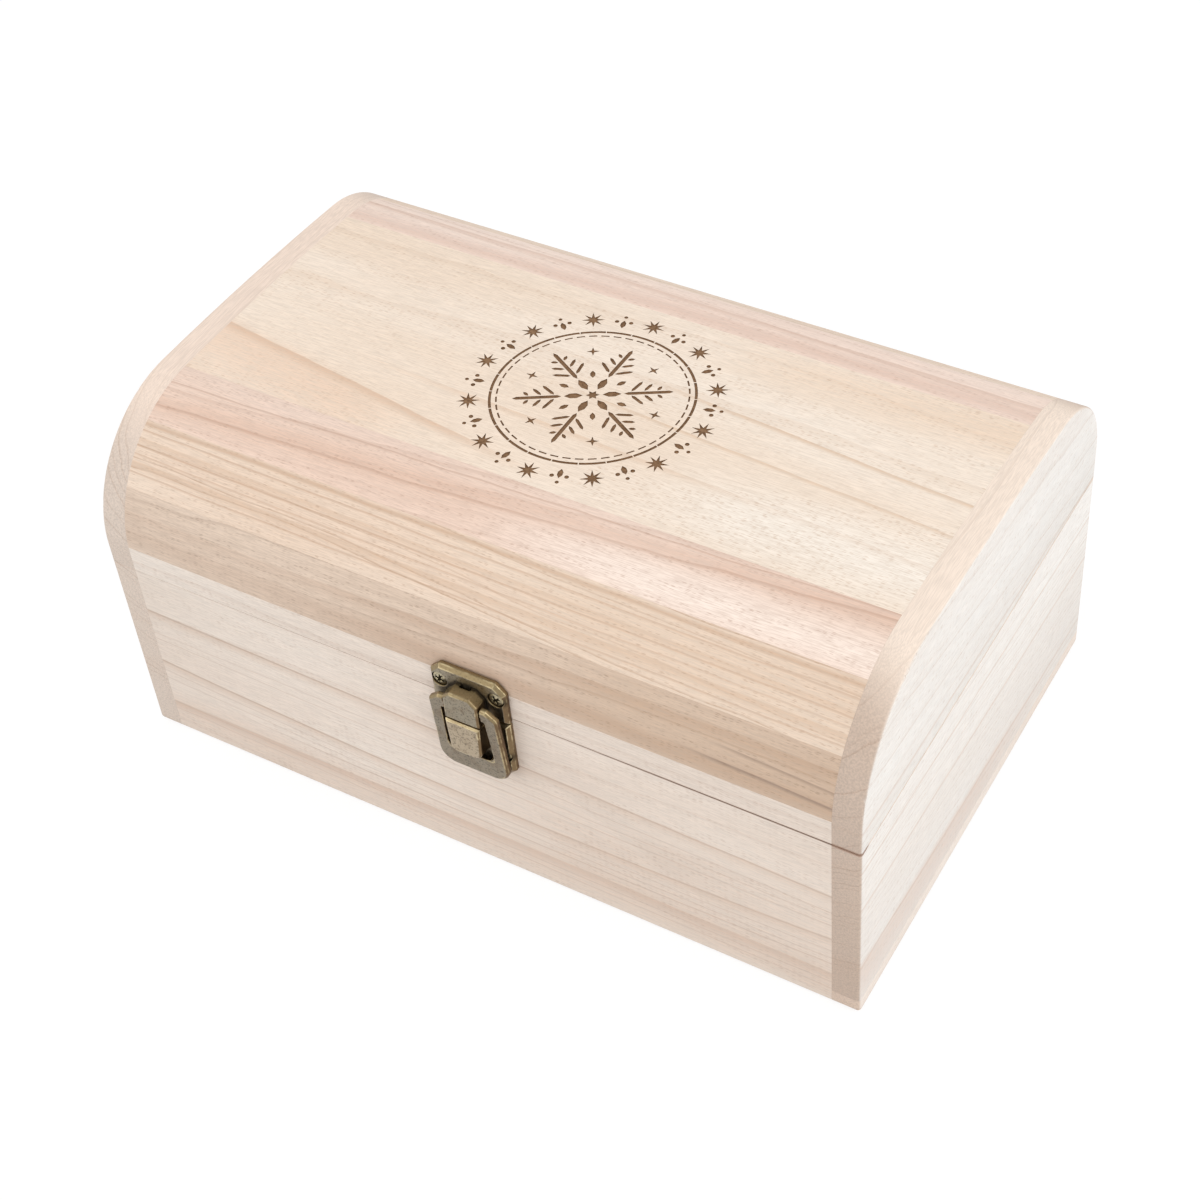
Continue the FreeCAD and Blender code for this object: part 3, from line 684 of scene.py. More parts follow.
# %% Dress the boards
seam_ease, seam_angle = 0.05 * mm, math.radians(35)


def eased_board(node, material):
    mesh = mesh_from(node + "_board", merged_copy(node))
    mesh.shade_smooth()
    obj = piece_from(node + "_board", mesh, material)
    ease = obj.modifiers.new("ease", "BEVEL")
    ease.width = seam_ease
    ease.segments = 2
    ease.limit_method = "ANGLE"
    ease.angle_limit = seam_angle
    ease.harden_normals = True
    return stands_for(apply_modifiers(obj), node)


wood_of = {
    "body_front": front_wood, "lid_front_rail": front_wood,
    "body_back": back_wood, "lid_back_rail": back_wood,
    "body_left_end": left_wood, "lid_left_end": left_wood,
    "body_right_end": right_wood, "lid_right_end": right_wood,
    "body_right_end_strip": strip_wood, "base_panel": base_wood,
    "lid_front_stave_lower": brown_wood, "lid_front_stave_middle": straw_wood,
    "lid_front_stave_upper": rose_wood,
    "lid_back_stave_lower": back_brown_wood, "lid_back_stave_middle": back_straw_wood,
    "lid_back_stave_upper": back_rose_wood,
}
boards = [eased_board(node, wood) for node, wood in wood_of.items()]
print(len(boards), "boards,", sum(len(board.data.polygons) for board in boards), "faces")

# %% [markdown]
# ## The crown board
# The crown is a very flat arc, only a few millimetres high. Its solid has a handful of wide facets, so the
# board is drawn again from its section with many narrow strips: the outer arc, down one seam, back along the
# inner arc. It needs that fineness, because the burnt design is carved into it next.

# %% Crown board from its section
board_low, board_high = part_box("lid_top_board")
crown_width, wall = 101.8 * mm, 10 * mm
strips = 96


def crown_height(y, sunk=0.0):
    """Height of the crown over a depth, or of an arc that lies a little deeper."""
    return crown_z + math.sqrt((crown_radius - sunk) ** 2 - (y - crown_y) ** 2)


def crown_section():
    """Points round the board's section, seen from the right."""
    outer_front = crown_middle[1] - crown_width / 2
    outer = [outer_front + crown_width * step / strips for step in range(strips + 1)]
    inner_run = board_high.y - board_low.y
    inner = [board_high.y - inner_run * step / strips for step in range(strips + 1)]
    return [(y, crown_height(y)) for y in outer] + [(y, crown_height(y, wall)) for y in inner]


shape = bmesh.new()
section = [shape.verts.new((board_low.x, y, z)) for y, z in crown_section()]
end_face = shape.faces.new(section)
grown = bmesh.ops.extrude_face_region(shape, geom=[end_face], use_keep_orig=True)
moved = [item for item in grown["geom"] if isinstance(item, bmesh.types.BMVert)]
bmesh.ops.translate(shape, verts=moved, vec=(board_high.x - board_low.x, 0, 0))
bmesh.ops.recalc_face_normals(shape, faces=shape.faces)
crown_board = piece_from("lid_top_board_carved", mesh_from("lid_top_board_carved", shape), crown_wood)
print("crown board of", len(crown_board.data.polygons), "faces")

# %% [markdown]
# ## The burnt design
# A laser burns brown lines a few tenths of a millimetre into the lid. The design here is a plain winter one:
# a six-armed frost star inside two rings, with small stars and lozenges round them. Each motif is drawn once
# as small prisms, and Geometry Nodes repeat it round a ring. The prisms then cut real grooves by a Boolean,
# which hands their burnt material to the cut faces.

# %% Burnt wood
burnt_wood, tree, shader = new_material("burnt_line_wood")
here = put(tree, "ShaderNodeTexCoord").outputs["Object"]
soot = noise(tree, here, 900.0, 3.0)
scorch = stretched(tree, here, (0, 0, 0), (150, 900, 900), 3.0)
burnt = tint(tree, fade(tree, scorch, 0.3, 0.7), srgb(126, 95, 68), srgb(150, 116, 86))
burnt = tint(tree, fade(tree, soot, 0.45, 0.7, 0.0, 0.6), burnt, srgb(96, 70, 48))
char_depth = 0.1 * mm
char = put(tree, "ShaderNodeBump", {"Strength": 0.3, "Distance": char_depth, "Height": soot})
feed(tree, shader, {"Base Color": burnt, "Roughness": fade(tree, soot, 0.3, 0.7, 0.7, 0.85),
                    "Normal": char.outputs[0], "Specular IOR Level": 0.2})
print("burnt wood ready")

# %% Ring of motifs, in Geometry Nodes
ring_tree, given, result = new_group(
    "GeometryNodeTree", "ring_of_motifs",
    [("Motif", "Geometry", None), ("Count", "Int", 6), ("Radius", "Float", 0.0), ("Start", "Float", 0.0),
     ("Burnt", "Material", None)],
    [("Geometry", "Geometry")],
)


def set_on_points(tree, points, shape, turn, finish):
    """Set a shape on points, make the copies real and paint them, as every tree here ends."""
    inputs = {"Points": points, "Instance": shape, "Rotation": turn}
    copies = put(tree, "GeometryNodeInstanceOnPoints", inputs).outputs[0]
    real = put(tree, "GeometryNodeRealizeInstances", {0: copies}).outputs[0]
    return put(tree, "GeometryNodeSetMaterial", {"Geometry": real, "Material": finish}).outputs[0]


def input_sockets(tree):
    """A tree's inputs by name, as the identifiers that a modifier takes."""
    return {item.name: item.identifier for item in tree.interface.items_tree if item.in_out == "INPUT"}


def build_ring(tree):
    index = put(tree, "GeometryNodeInputIndex").outputs[0]
    step = maths(tree, "DIVIDE", math.tau, given["Count"])
    angle = maths(tree, "MULTIPLY_ADD", index, step, given["Start"])
    along = times(tree, maths(tree, "SINE", angle), given["Radius"])
    across = times(tree, maths(tree, "COSINE", angle), given["Radius"])
    inputs = {"Count": given["Count"], "Position": joined(tree, along, across)}
    points = put(tree, "GeometryNodePoints", inputs).outputs[0]
    turn = joined(tree, z=times(tree, angle, -1.0))
    painted = set_on_points(tree, points, given["Motif"], turn, given["Burnt"])
    feed(tree, result, {"Geometry": painted})


build_ring(ring_tree)
ring_socket = input_sockets(ring_tree)
print("ring tree inputs", sorted(ring_socket))

# %% Motifs as outlines
burn_depth, burn_clear = 0.3 * mm, 1.0 * mm


def lozenge(low, high, width, lean=0.0, foot=(0.0, 0.0)):
    """A slim pointed stroke in millimetres, from low to high, that leans from the motif's axis."""
    swing = math.radians(lean)
    middle, reach = (low + high) / 2, (high - low) / 2
    shoulder = max(reach - width, reach * 0.35)
    half = width / 2
    points = [(0, middle - reach), (half, middle - shoulder), (half, middle + shoulder),
              (0, middle + reach), (-half, middle + shoulder), (-half, middle - shoulder)]
    across, up = math.cos(swing), math.sin(swing)
    return [(foot[0] + x * across + y * up, foot[1] + y * across - x * up) for x, y in points]


def star(points, outer, inner, middle=(0.0, 0.0)):
    """A pointed star."""
    turns = [math.pi * step / points for step in range(2 * points)]
    reach = [outer if step % 2 == 0 else inner for step in range(2 * points)]
    return [(middle[0] + r * math.sin(a), middle[1] + r * math.cos(a)) for r, a in zip(reach, turns)]


def dot(radius, middle=(0.0, 0.0), sides=20):
    turns = [math.tau * step / sides for step in range(sides)]
    return [(middle[0] + radius * math.sin(a), middle[1] + radius * math.cos(a)) for a in turns]


def arc_stroke(radius, width, degrees, sides=10):
    """A piece of a ring of its own radius, drawn about the motif's point on that ring."""
    turns = [math.radians(degrees) * (step / sides - 0.5) for step in range(sides + 1)]
    outer = [((radius + width / 2) * math.sin(a), (radius + width / 2) * math.cos(a) - radius) for a in turns]
    inner = [((radius - width / 2) * math.sin(a), (radius - width / 2) * math.cos(a) - radius) for a in turns]
    return outer + inner[::-1]


def close_skin(shape, rings):
    """Close a skin over rings of points that follow each other, with a face at both ends."""
    skin = [shape.faces.new(rings[0]), shape.faces.new(rings[-1])]
    count = len(rings[0])
    for one, other in zip(rings, rings[1:]):
        for here in range(count):
            there = (here + 1) % count
            skin.append(shape.faces.new((one[here], one[there], other[there], other[here])))
    bmesh.ops.recalc_face_normals(shape, faces=skin)


def prisms(name, outlines):
    """Upright prisms over outlines in millimetres, from the groove's floor to well above the lid."""
    shape = bmesh.new()
    for outline in outlines:
        close_skin(shape, [[shape.verts.new((x * mm, y * mm, z)) for x, y in outline]
                           for z in (-burn_depth, burn_clear)])
    return mesh_from(name, shape)


frost_arm = [lozenge(3.4, 10.0, 2.6), lozenge(10.8, 28.0, 1.5)]
for low, reach in ((12.5, 8.0), (17.0, 6.2), (21.5, 4.2)):
    frost_arm += [lozenge(1.4, reach, 1.2, lean, (0.0, low)) for lean in (-52, 52)]
frost_gap = [lozenge(9.5, 13.5, 1.8), star(4, 2.4, 0.7, (0, 24.5))]
small_mark = [lozenge(-3.0, 1.6, 1.9), dot(0.8, (-2.6, 0.6)), dot(0.8, (2.6, 0.6)), dot(0.7, (0, 3.6))]
print("frost arm of", len(frost_arm), "strokes")

# %% Repeat the motifs and carve the lid
design_middle = Vector((0.0, 2.0 * mm, 0.0))
inner_ring, outer_ring = 33.5, 35.8


def ring_of(name, outlines, count, radius=0.0, start=0.0):
    """Motifs round a ring, as a plain mesh laid on the crown."""
    obj = piece_from(name, prisms(name, outlines), burnt_wood)
    repeat = obj.modifiers.new("ring", "NODES")
    repeat.node_group = ring_tree
    values = {"Count": count, "Radius": radius * mm, "Start": math.radians(start), "Burnt": burnt_wood}
    for label, value in values.items():
        repeat[ring_socket[label]] = value
    apply_modifiers(obj)
    for vertex in obj.data.vertices:
        vertex.co += design_middle
        vertex.co.z += crown_height(vertex.co.y)
    return obj


cutters = [
    ring_of("frost_heart", [star(6, 2.4, 1.3)], 1),
    ring_of("frost_arms", frost_arm, 6),
    ring_of("frost_gaps", frost_gap, 6, start=30),
    ring_of("inner_ring", [arc_stroke(inner_ring, 0.6, 5.0)], 48, inner_ring),
    ring_of("outer_ring", [arc_stroke(outer_ring, 1.0, 14.4)], 24, outer_ring),
    ring_of("bright_stars", [star(8, 4.3, 1.5)], 12, 43.2),
    ring_of("small_marks", small_mark, 12, 42.0, 15),
]
for cutter in cutters:
    carve = crown_board.modifiers.new("carve", "BOOLEAN")
    carve.operation = "DIFFERENCE"
    carve.solver = "EXACT"
    carve.material_mode = "TRANSFER"
    carve.object = cutter
apply_modifiers(crown_board)
for cutter in cutters:
    bpy.data.objects.remove(cutter)
stands_for(crown_board, "lid_top_board")
carved = crown_board.data
print("carved crown of", len(carved.polygons), "faces,", len(carved.materials), "materials")

# %% [markdown]
# ## Aged brass
# The clasp is die-cast, plated and artificially aged: grey-olive faces with fine pits, dark grime in the
# corners and bright yellow metal where fingers rub the edges. Light and shade are painted into the tone too:
# bevels that face up take a painted brassy sheen, sides that face down a painted brown shade, inner corners
# a painted shade with the grime, and outer edges a painted highlight with the wear. The tone follows the way
# a surface faces. Wear and grime, with their painted highlight and shade, follow the shape, so they are
# stored on the mesh as attributes: how near a point lies to an outer edge, and to an inner corner.

# %% Aged brass group
brass_group, given, result = new_group(
    "ShaderNodeTree", "aged_brass",
    [("Place", "Vector", None), ("Facing", "Vector", None), ("Wear_and_highlight", "Float", 0.0), ("Grime_and_shade", "Float", 0.0),
     ("Face", "Color", (0, 0, 0, 1)), ("Upward_sheen", "Color", (0, 0, 0, 1)), ("Side", "Color", (0, 0, 0, 1)),
     ("Bright", "Color", (0, 0, 0, 1)), ("Dark", "Color", (0, 0, 0, 1))],
    [("Color", "Color"), ("Roughness", "Float"), ("Height", "Float")],
)


def build_brass(tree):
    place = given["Place"]
    cloud, speck = noise(tree, place, 210.0, 3.0), noise(tree, place, 1500.0, 3.0)
    pit = put(tree, "ShaderNodeTexVoronoi", {"Vector": place, "Scale": 620.0}).outputs["Distance"]
    pits = fade(tree, pit, 0.12, 0.3, 1.0, 0.0)
    _, level, rise = split(tree, given["Facing"])
    flat = fade(tree, maths(tree, "ABSOLUTE", level), 0.84, 0.97)
    # Painted light by facing: bevels that face up take a brassy sheen, sides that face down a brown shade.
    facing_sheen = tint(tree, fade(tree, rise, -0.1, 0.55), given["Side"], given["Upward_sheen"])
    mottled = tint(tree, fade(tree, cloud, 0.45, 0.75, 0.0, 0.5), given["Face"], given["Side"])
    mottled = tint(tree, fade(tree, speck, 0.5, 0.72, 0.0, 0.55), mottled, given["Dark"])
    mottled = tint(tree, times(tree, pits, 0.4), mottled, given["Dark"])
    facing_sheen = tint(tree, fade(tree, speck, 0.5, 0.8, 0.0, 0.35), facing_sheen, given["Dark"])
    colour = tint(tree, flat, facing_sheen, mottled)
    # Rubbed bright metal at the outer edges, which also paints the highlight that the edges catch.
    rubbed_and_highlight = times(tree, given["Wear_and_highlight"], fade(tree, cloud, 0.35, 0.65, 0.3, 1.0))
    colour = tint(tree, fade(tree, rubbed_and_highlight, 0.35, 0.95, 0.0, 0.8), colour, given["Bright"])
    # Grime in the inner corners, which also paints the shade that falls there.
    dirt_and_shade = times(tree, given["Grime_and_shade"], fade(tree, cloud, 0.2, 0.7, 1.0, 0.75))
    colour = tint(tree, fade(tree, dirt_and_shade, 0.05, 0.75, 0.0, 0.95), colour, given["Dark"])
    rough = maths(tree, "MULTIPLY_ADD", speck, 0.25, 0.26)
    rough = maths(tree, "MULTIPLY_ADD", rubbed_and_highlight, -0.12, rough)
    rough = maths(tree, "MULTIPLY_ADD", dirt_and_shade, 0.2, rough)
    height = maths(tree, "MULTIPLY_ADD", pits, -0.8, speck)
    feed(tree, result, {"Color": colour, "Roughness": rough, "Height": height})


build_brass(brass_group)
print("brass group of", len(brass_group.nodes), "nodes")

# %% Four brasses
pit_depth = 0.1 * mm


def brass(name, face, warm, side, bright, dark):
    """A brass by its colours of 0 to 255: flat faces, bevels with painted sheen, sides with painted shade,
    rubbed edges with painted highlight, and grime with painted shade.
    """
    material, tree, shader = new_material(name)
    here = put(tree, "ShaderNodeTexCoord").outputs
    colours = {"Face": face, "Upward_sheen": warm, "Side": side, "Bright": bright, "Dark": dark}
    inputs = {label: srgb(*colour) for label, colour in colours.items()}
    inputs.update({"Place": here["Object"], "Facing": here["Normal"]})
    for label in ("Wear_and_highlight", "Grime_and_shade"):
        inputs[label] = put(tree, "ShaderNodeAttribute", attribute_name=label.lower()).outputs["Fac"]
    metal = put(tree, "ShaderNodeGroup", inputs, node_tree=brass_group).outputs
    relief = {"Strength": 0.25, "Distance": pit_depth, "Height": metal["Height"]}
    bump = put(tree, "ShaderNodeBump", relief).outputs[0]
    feed(tree, shader, {"Base Color": metal["Color"], "Roughness": metal["Roughness"], "Normal": bump,
                        "Metallic": 1.0})
    return material


clasp_brass = brass("aged_clasp_brass", (150, 140, 122), (142, 125, 94), (116, 94, 68), (206, 189, 150),
                    (34, 26, 18))
# A darker copy of the clasp brass for the bail: painted shade where it lies behind the lug.
shaded_bail_brass = brass("aged_bail_brass_shaded", (140, 129, 112), (142, 125, 94), (112, 90, 65), (198, 180, 140),
                   (34, 26, 18))
# A lighter copy for the lower plate and its lug, with a brighter rubbed edge: painted light and a painted rim
# highlight.
lit_lug_brass = brass("aged_lug_brass_lit", (178, 162, 139), (170, 152, 118), (122, 100, 72), (222, 206, 166),
                  (40, 30, 20))
screw_brass = brass("aged_screw_brass", (182, 172, 146), (206, 190, 146), (150, 128, 88), (232, 216, 170),
                    (30, 22, 14))
print("brasses", [each.name for each in (clasp_brass, shaded_bail_brass, lit_lug_brass, screw_brass)])

# %% [markdown]
# ## Cast pieces
# A casting has no knife edges, and its surface needs many small faces to carry the wear with its painted
# highlight. Both come from one step: the solid is remeshed in small voxels and smoothed a little, which
# rounds every edge by about a voxel. The edges of the solid itself tell where wear and grime belong, and
# with them the painted highlight and the painted shade.

# %% Wear with its painted highlight and grime with its painted shade, from the solid's own edges
plate_front = front_y - 3.0 * mm
edge_angle, edge_step = math.radians(25), 0.25 * mm


def search_tree(points):
    """A tree that finds the nearest of some points."""
    tree = kdtree.KDTree(len(points))
    for number, point in enumerate(points):
        tree.insert(point, number)
    tree.balance()
    return tree


def edge_trees(shape, hidden=()):
    """Search trees along a solid's outer edges, less hidden ones, and its inner corners at the plate."""
    found = {True: [], False: []}
    for edge in shape.edges:
        if len(edge.link_faces) != 2 or edge.calc_face_angle() < edge_angle or edge.index in hidden:
            continue
        start, end = (vertex.co.copy() for vertex in edge.verts)
        if edge.is_convex or min(start.y, end.y) > plate_front:
            count = max(1, math.ceil((end - start).length / edge_step))
            found[edge.is_convex] += [start.lerp(end, step / count) for step in range(count + 1)]
    return search_tree(found[True]), search_tree(found[False])


def store_nearness(mesh, label, tree, reach):
    """Store how near each point lies to a search tree, from one at its edges to nought at its reach."""
    attribute = mesh.attributes.new(label, "FLOAT", "POINT")
    for vertex in mesh.vertices:
        distance = tree.find(vertex.co)[2]
        attribute.data[vertex.index].value = 0.0 if distance is None else max(0.0, 1.0 - distance / reach)


print("edges count from", round(math.degrees(edge_angle)), "degrees")

# %% [markdown]
# ## Fuller shapes for the lower lug and the bail
# The solid of the lower lug slopes in below its brow, so that the bail can swing clear of it. The real lug
# has an upright front with round lower corners, and the window of the real bail is rounder too. Both are
# added as small closed skins to the merged copy. The voxels then melt them into one casting.

# %% Upright front of the lower lug
lug_top, lug_foot, lug_height, lug_corner = 6.9, 6.3, 15.65, 3.0
lug_reach, lug_bevel, covered = 6.1, 0.7, 0.05


def lug_outline(inset):
    """The lug from the front, in millimetres from its top: narrower at its foot, with round corners."""
    lean = math.atan2(lug_top - lug_foot, lug_height)
    turns = [lean + (math.pi / 2 - lean) * step / 6 for step in range(7)]
    swell, middle = lug_corner - inset, lug_foot - lug_corner
    right = [(lug_top - inset, -inset)]
    level = lug_corner - lug_height
    right += [(middle + swell * math.cos(turn), level - swell * math.sin(turn)) for turn in turns]
    return right + [(-x, z) for x, z in reversed(right)]


def upright_lug(shape, node):
    """Add the lug's full front to its casting, and list the solid's own edges that it covers."""
    low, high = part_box(node)
    middle = (low.x + high.x) / 2
    plate_y = low.y + lug_reach * mm
    limit = plate_y - covered * mm
    hidden = {edge.index for edge in shape.edges if all(vertex.co.y < limit for vertex in edge.verts)}
    rings = []
    for inset, y in ((0.0, plate_y), (0.0, low.y + lug_bevel * mm), (lug_bevel, low.y)):
        rings.append([shape.verts.new((middle + x * mm, y, high.z + z * mm)) for x, z in lug_outline(inset)])
    close_skin(shape, rings)
    shape.edges.index_update()
    return hidden


print("lug outline of", len(lug_outline(0.0)), "points")

# %% Round corners of the bail's window
joint_place = {joint["name"]: Vector(joint["pos_m"]) for joint in record["behaviour"]["joints"]}
bail_pivot, bail_lean = joint_place["bail_swing"], math.radians(4)
window_half, window_drop, window_round = 9.4, 24.8, 4.0
bail_front, window_lip, window_lap = 1.2, 0.5, 0.6


def round_window(shape):
    """Fill the lower corners of the bail's window to a rounder shape, as thick as its lip."""
    place = Matrix.Translation(bail_pivot) @ Matrix.Rotation(bail_lean, 4, "X")
    turns = [math.pi / 2 * step / 8 for step in range(9)]
    middle, drop = window_half - window_round, window_drop - window_round
    side_lap, foot_lap = window_half + window_lap, window_drop + window_lap
    outline = [(middle + window_round * math.sin(a), drop + window_round * math.cos(a)) for a in turns]
    outline += [(side_lap, drop), (side_lap, foot_lap), (middle, foot_lap)]
    for side in (-1, 1):
        rings = []
        for y in (-bail_front, window_lip - bail_front):
            rings.append([shape.verts.new(place @ (Vector((side * x, y, -z)) * mm)) for x, z in outline])
        close_skin(shape, rings)


print("bail turns about", [round(value / mm, 2) for value in bail_pivot])

# %% Cast the clasp and the hinge leaves
voxel, wear_and_highlight_reach, grime_and_shade_reach = 0.16 * mm, 0.75 * mm, 1.6 * mm


def in_voxels(obj, size):
    """Remesh a piece in voxels of a size."""
    remesh = obj.modifiers.new("voxels", "REMESH")
    remesh.mode = "VOXEL"
    remesh.voxel_size = size
    remesh.use_smooth_shade = True


def cast_piece(node, material):
    shape = merged_copy(node)
    shape.edges.index_update()
    hidden = upright_lug(shape, node) if node == "clasp_lower_plate" else ()
    outer, inner = edge_trees(shape, hidden)
    if node == "clasp_bail":
        round_window(shape)
    obj = piece_from(node + "_cast", mesh_from(node + "_cast", shape), material)
    in_voxels(obj, voxel)
    soften = obj.modifiers.new("soften", "SMOOTH")
    soften.factor = 0.5
    soften.iterations = 16
    apply_modifiers(obj)
    # Near outer edges: wear with a painted highlight.
    store_nearness(obj.data, "wear_and_highlight", outer, wear_and_highlight_reach)
    # Near inner corners: grime with painted shade.
    store_nearness(obj.data, "grime_and_shade", inner, grime_and_shade_reach)
    return stands_for(obj, node)


leaves = [f"hinge_{side}_{leaf}_leaf" for side in ("left", "right") for leaf in ("body", "lid")]
castings = [cast_piece(node, clasp_brass) for node in ["clasp_upper_plate"] + leaves]
castings += [cast_piece("clasp_lower_plate", lit_lug_brass), cast_piece("clasp_bail", shaded_bail_brass)]
for casting in castings:
    print(casting.name, len(casting.data.polygons), "faces")

# %% Hinge pins keep their solids
for node in ("hinge_left_pin", "hinge_right_pin"):
    for holder in frame["nodes"][node].material_slots:
        holder.material = clasp_brass
print("pins in", clasp_brass.name)

# %% [markdown]
# ## Screws
# Every screw is the same turned pan head with a pressed cross, so one Geometry Nodes tree makes them all. A
# sphere and a cylinder meet in the head, two bars press the cross, and a shank stands below. Each screw is
# set on a point, faces out of its plate and is twisted by a seeded chance, as a hand leaves it.

# %% Screw tree's sockets
screw_tree, given, result = new_group(
    "GeometryNodeTree", "pan_head_screws",
    [("Places", "Geometry", None), ("Head radius", "Float", 0.0025), ("Head side", "Float", 0.0007),
     ("Head dome", "Float", 0.0006), ("Shank radius", "Float", 0.0012), ("Shank length", "Float", 0.008),
     ("Facing", "Vector", (0, -1, 0)), ("Seed", "Int", 0), ("Finish", "Material", None)],
    [("Geometry", "Geometry")],
)
recess_span, recess_width, recess_depth, shank_lap = 0.6, 0.17, 0.3, 0.1 * mm


def lifted(tree, mesh, height):
    """Move a mesh up its own axis."""
    inputs = {"Geometry": mesh, "Translation": joined(tree, z=height)}
    return put(tree, "GeometryNodeTransform", inputs).outputs[0]


def cylinder(tree, sides, radius, depth):
    inputs = {"Vertices": sides, "Radius": radius, "Depth": depth}
    return put(tree, "GeometryNodeMeshCylinder", inputs).outputs[0]


def exact(tree, operation, inputs):
    """A Boolean node with the exact solver."""
    return put(tree, "GeometryNodeMeshBoolean", inputs, operation=operation, solver="EXACT")


print("screw tree with", len(screw_tree.interface.items_tree), "sockets")

# %% Screw tree
def build_screw(tree):
    radius, side, dome = given["Head radius"], given["Head side"], given["Head dome"]
    top = maths(tree, "ADD", side, dome)
    squares = maths(tree, "MULTIPLY_ADD", radius, radius, times(tree, dome, dome))
    bulge = maths(tree, "DIVIDE", squares, times(tree, dome, 2.0))
    ball = put(tree, "GeometryNodeMeshUVSphere", {"Segments": 64, "Rings": 96, "Radius": bulge}).outputs[0]
    ball = lifted(tree, ball, maths(tree, "SUBTRACT", top, bulge))
    drum = lifted(tree, cylinder(tree, 64, radius, times(tree, top, 2.0)), top)

    # The Mesh 2 socket takes more than one mesh, each by a link of its own.
    domed = exact(tree, "INTERSECT", {"Mesh 2": drum})
    tree.links.new(ball, domed.inputs["Mesh 2"])
    head = domed.outputs[0]
    shares = (recess_span, recess_width, recess_depth)
    span, width, deep = (times(tree, radius, 2 * share) for share in shares)
    for length, breadth in ((span, width), (width, span)):
        bar = put(tree, "GeometryNodeMeshCube", {"Size": joined(tree, length, breadth, deep)}).outputs[0]
        pressed = {"Mesh 1": head, "Mesh 2": lifted(tree, bar, top)}
        head = exact(tree, "DIFFERENCE", pressed).outputs[0]
    length = maths(tree, "ADD", given["Shank length"], shank_lap)
    shank = cylinder(tree, 32, given["Shank radius"], length)
    shank = lifted(tree, shank, maths(tree, "MULTIPLY_ADD", length, -0.5, shank_lap))
    screw = exact(tree, "UNION", {"Mesh 2": head})
    tree.links.new(shank, screw.inputs["Mesh 2"])

    aim = put(tree, "FunctionNodeAlignRotationToVector", {"Vector": given["Facing"]}, axis="Z").outputs[0]
    inputs = {2: 0.0, 3: math.pi, "Seed": given["Seed"]}
    twist = put(tree, "FunctionNodeRandomValue", inputs, data_type="FLOAT").outputs[1]
    spin = put(tree, "FunctionNodeAxisAngleToRotation", {"Axis": (0, 0, 1), "Angle": twist}).outputs[0]
    turned = put(tree, "FunctionNodeRotateRotation", {0: aim, 1: spin}, rotation_space="LOCAL").outputs[0]
    painted = set_on_points(tree, given["Places"], screw.outputs[0], turned, given["Finish"])
    feed(tree, result, {"Geometry": painted})


build_screw(screw_tree)
screw_socket = input_sockets(screw_tree)
print("screw tree of", len(screw_tree.nodes), "nodes")

# %% Set the screws
screw_voxel, screw_wear_and_highlight, screw_grime_and_shade, recess_shade = 0.09 * mm, 0.3 * mm, 0.5 * mm, 0.12 * mm


def darken_recess(mesh, spots, facing, head, dome, rise):
    """Grime and painted shade in the pressed cross: what lies below the head's dome near a screw's middle."""
    bulge = (head ** 2 + dome ** 2) / (2 * dome) * mm
    grime_and_shade = mesh.attributes["grime_and_shade"].data
    for vertex in mesh.vertices:
        off = min(math.hypot(vertex.co.x - x, vertex.co.z - z) for x, _, z in spots)
        skin = rise - bulge + math.sqrt(max(bulge ** 2 - off ** 2, 0.0))
        height = (vertex.co.y - spots[0][1]) * facing
        if off < recess_span * head * mm and height < skin - recess_shade:
            grime_and_shade[vertex.index].value = 1.0


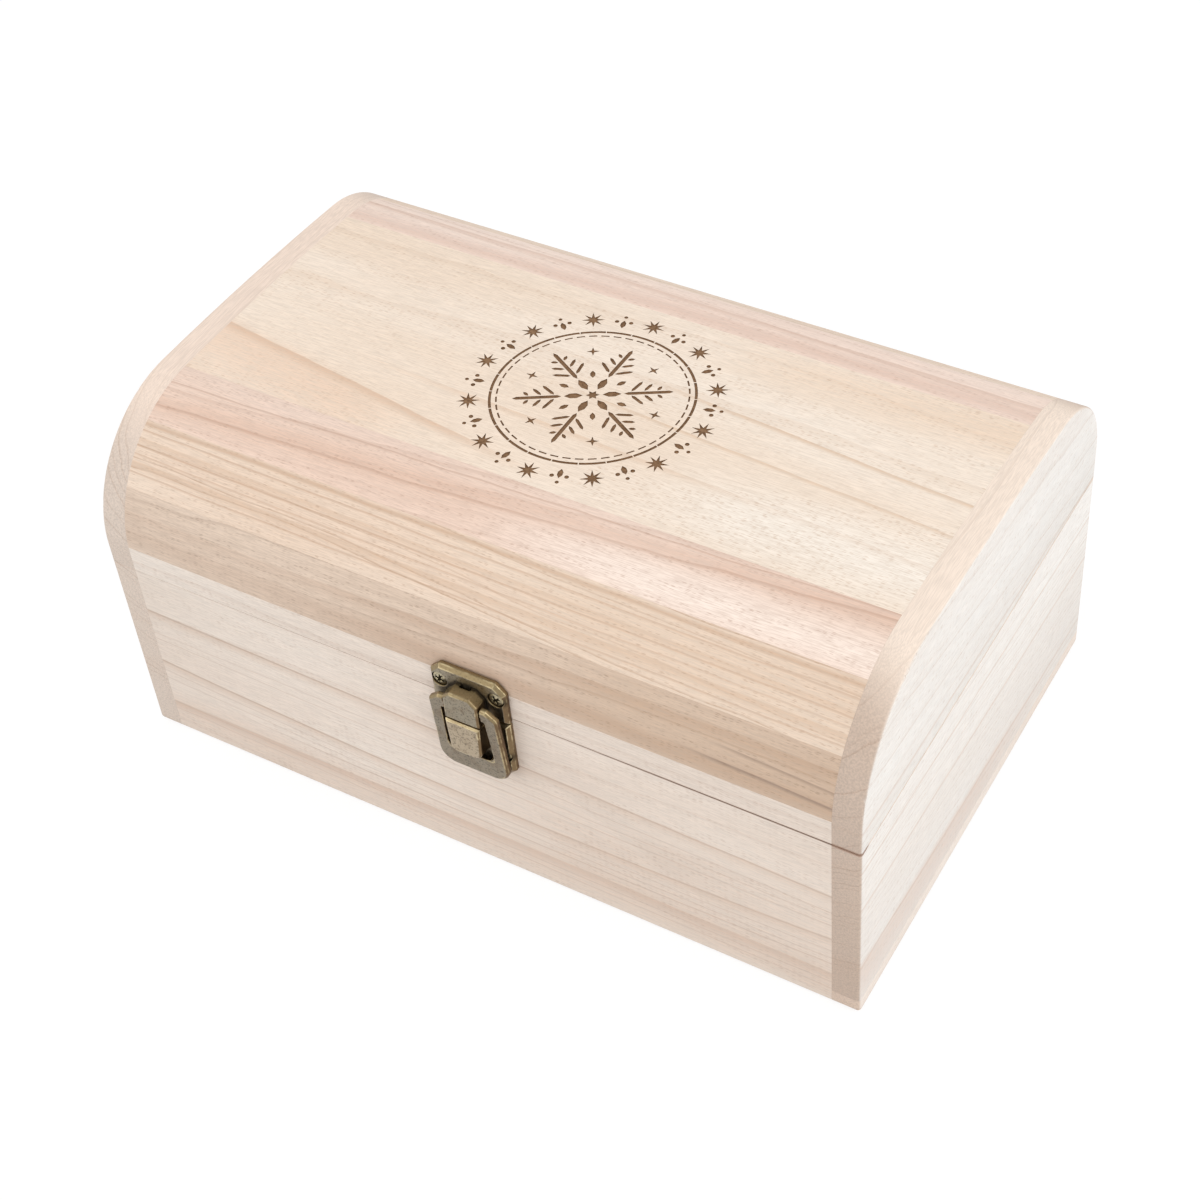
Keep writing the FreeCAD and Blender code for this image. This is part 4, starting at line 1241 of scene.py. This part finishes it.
def set_screws(node, facing, columns, seed, head, side, dome, shank):
    """Screws in place of a node: columns are their offsets along the length from the node's middle."""
    low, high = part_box(node)
    middle = (low + high) / 2
    rise = (side + dome) * mm
    seat = low.y + rise if facing < 0 else high.y - rise
    spots = [(middle.x + column, seat, middle.z) for column in columns]
    mesh = bpy.data.meshes.new(node + "_turned")
    mesh.from_pydata(spots, [], [])
    obj = piece_from(node + "_turned", mesh, screw_brass)
    turn = obj.modifiers.new("screws", "NODES")
    turn.node_group = screw_tree
    values = {"Head radius": head * mm, "Head side": side * mm, "Head dome": dome * mm,
              "Shank radius": shank * mm, "Shank length": high.y - low.y - rise, "Facing": (0, facing, 0),
              "Seed": seed, "Finish": screw_brass}
    for label, value in values.items():
        turn[screw_socket[label]] = value
    apply_modifiers(obj)
    shape = bmesh.new()
    shape.from_mesh(obj.data)
    bmesh.ops.remove_doubles(shape, verts=shape.verts, dist=weld)
    outer, inner = edge_trees(shape)
    shape.free()
    in_voxels(obj, screw_voxel)
    apply_modifiers(obj)
    obj.data.materials.clear()
    obj.data.materials.append(screw_brass)
    # Wear with a painted highlight at the screws' edges.
    store_nearness(obj.data, "wear_and_highlight", outer, screw_wear_and_highlight)
    # Grime with painted shade in the screws' inner corners and pressed cross.
    store_nearness(obj.data, "grime_and_shade", inner, screw_grime_and_shade)
    darken_recess(obj.data, spots, facing, head, dome, rise)
    return stands_for(obj, node)


clasp_screw = {"head": 2.8, "side": 0.7, "dome": 0.6, "shank": 1.0}
hinge_screw = {"head": 1.9, "side": 0.4, "dome": 0.5, "shank": 1.0}
screws_low, screws_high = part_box("clasp_upper_screws")
clasp_half = (screws_high.x - screws_low.x) / 2 - clasp_screw["head"] * mm
clasp_columns = (-clasp_half, clasp_half)
hinge_offset, hole_offset = 88 * mm, 7.5 * mm
hinge_columns = [side * hinge_offset + half * hole_offset for side in (-1, 1) for half in (-1, 1)]
screws = [
    set_screws("clasp_upper_screws", -1, clasp_columns, 3, **clasp_screw),
    set_screws("clasp_lower_screws", -1, clasp_columns, 4, **clasp_screw),
    set_screws("hinge_lid_screws", 1, hinge_columns, 5, **hinge_screw),
    set_screws("hinge_body_screws", 1, hinge_columns, 6, **hinge_screw),
]
for screw in screws:
    print(screw.name, len(screw.data.polygons), "faces")

# %% Write the sizes and finish
visual_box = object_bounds()
growth = (visual_box[1] - visual_box[0]) - (cad_box[1] - cad_box[0])
print("size change in mm:", [round(side / mm, 3) for side in growth])
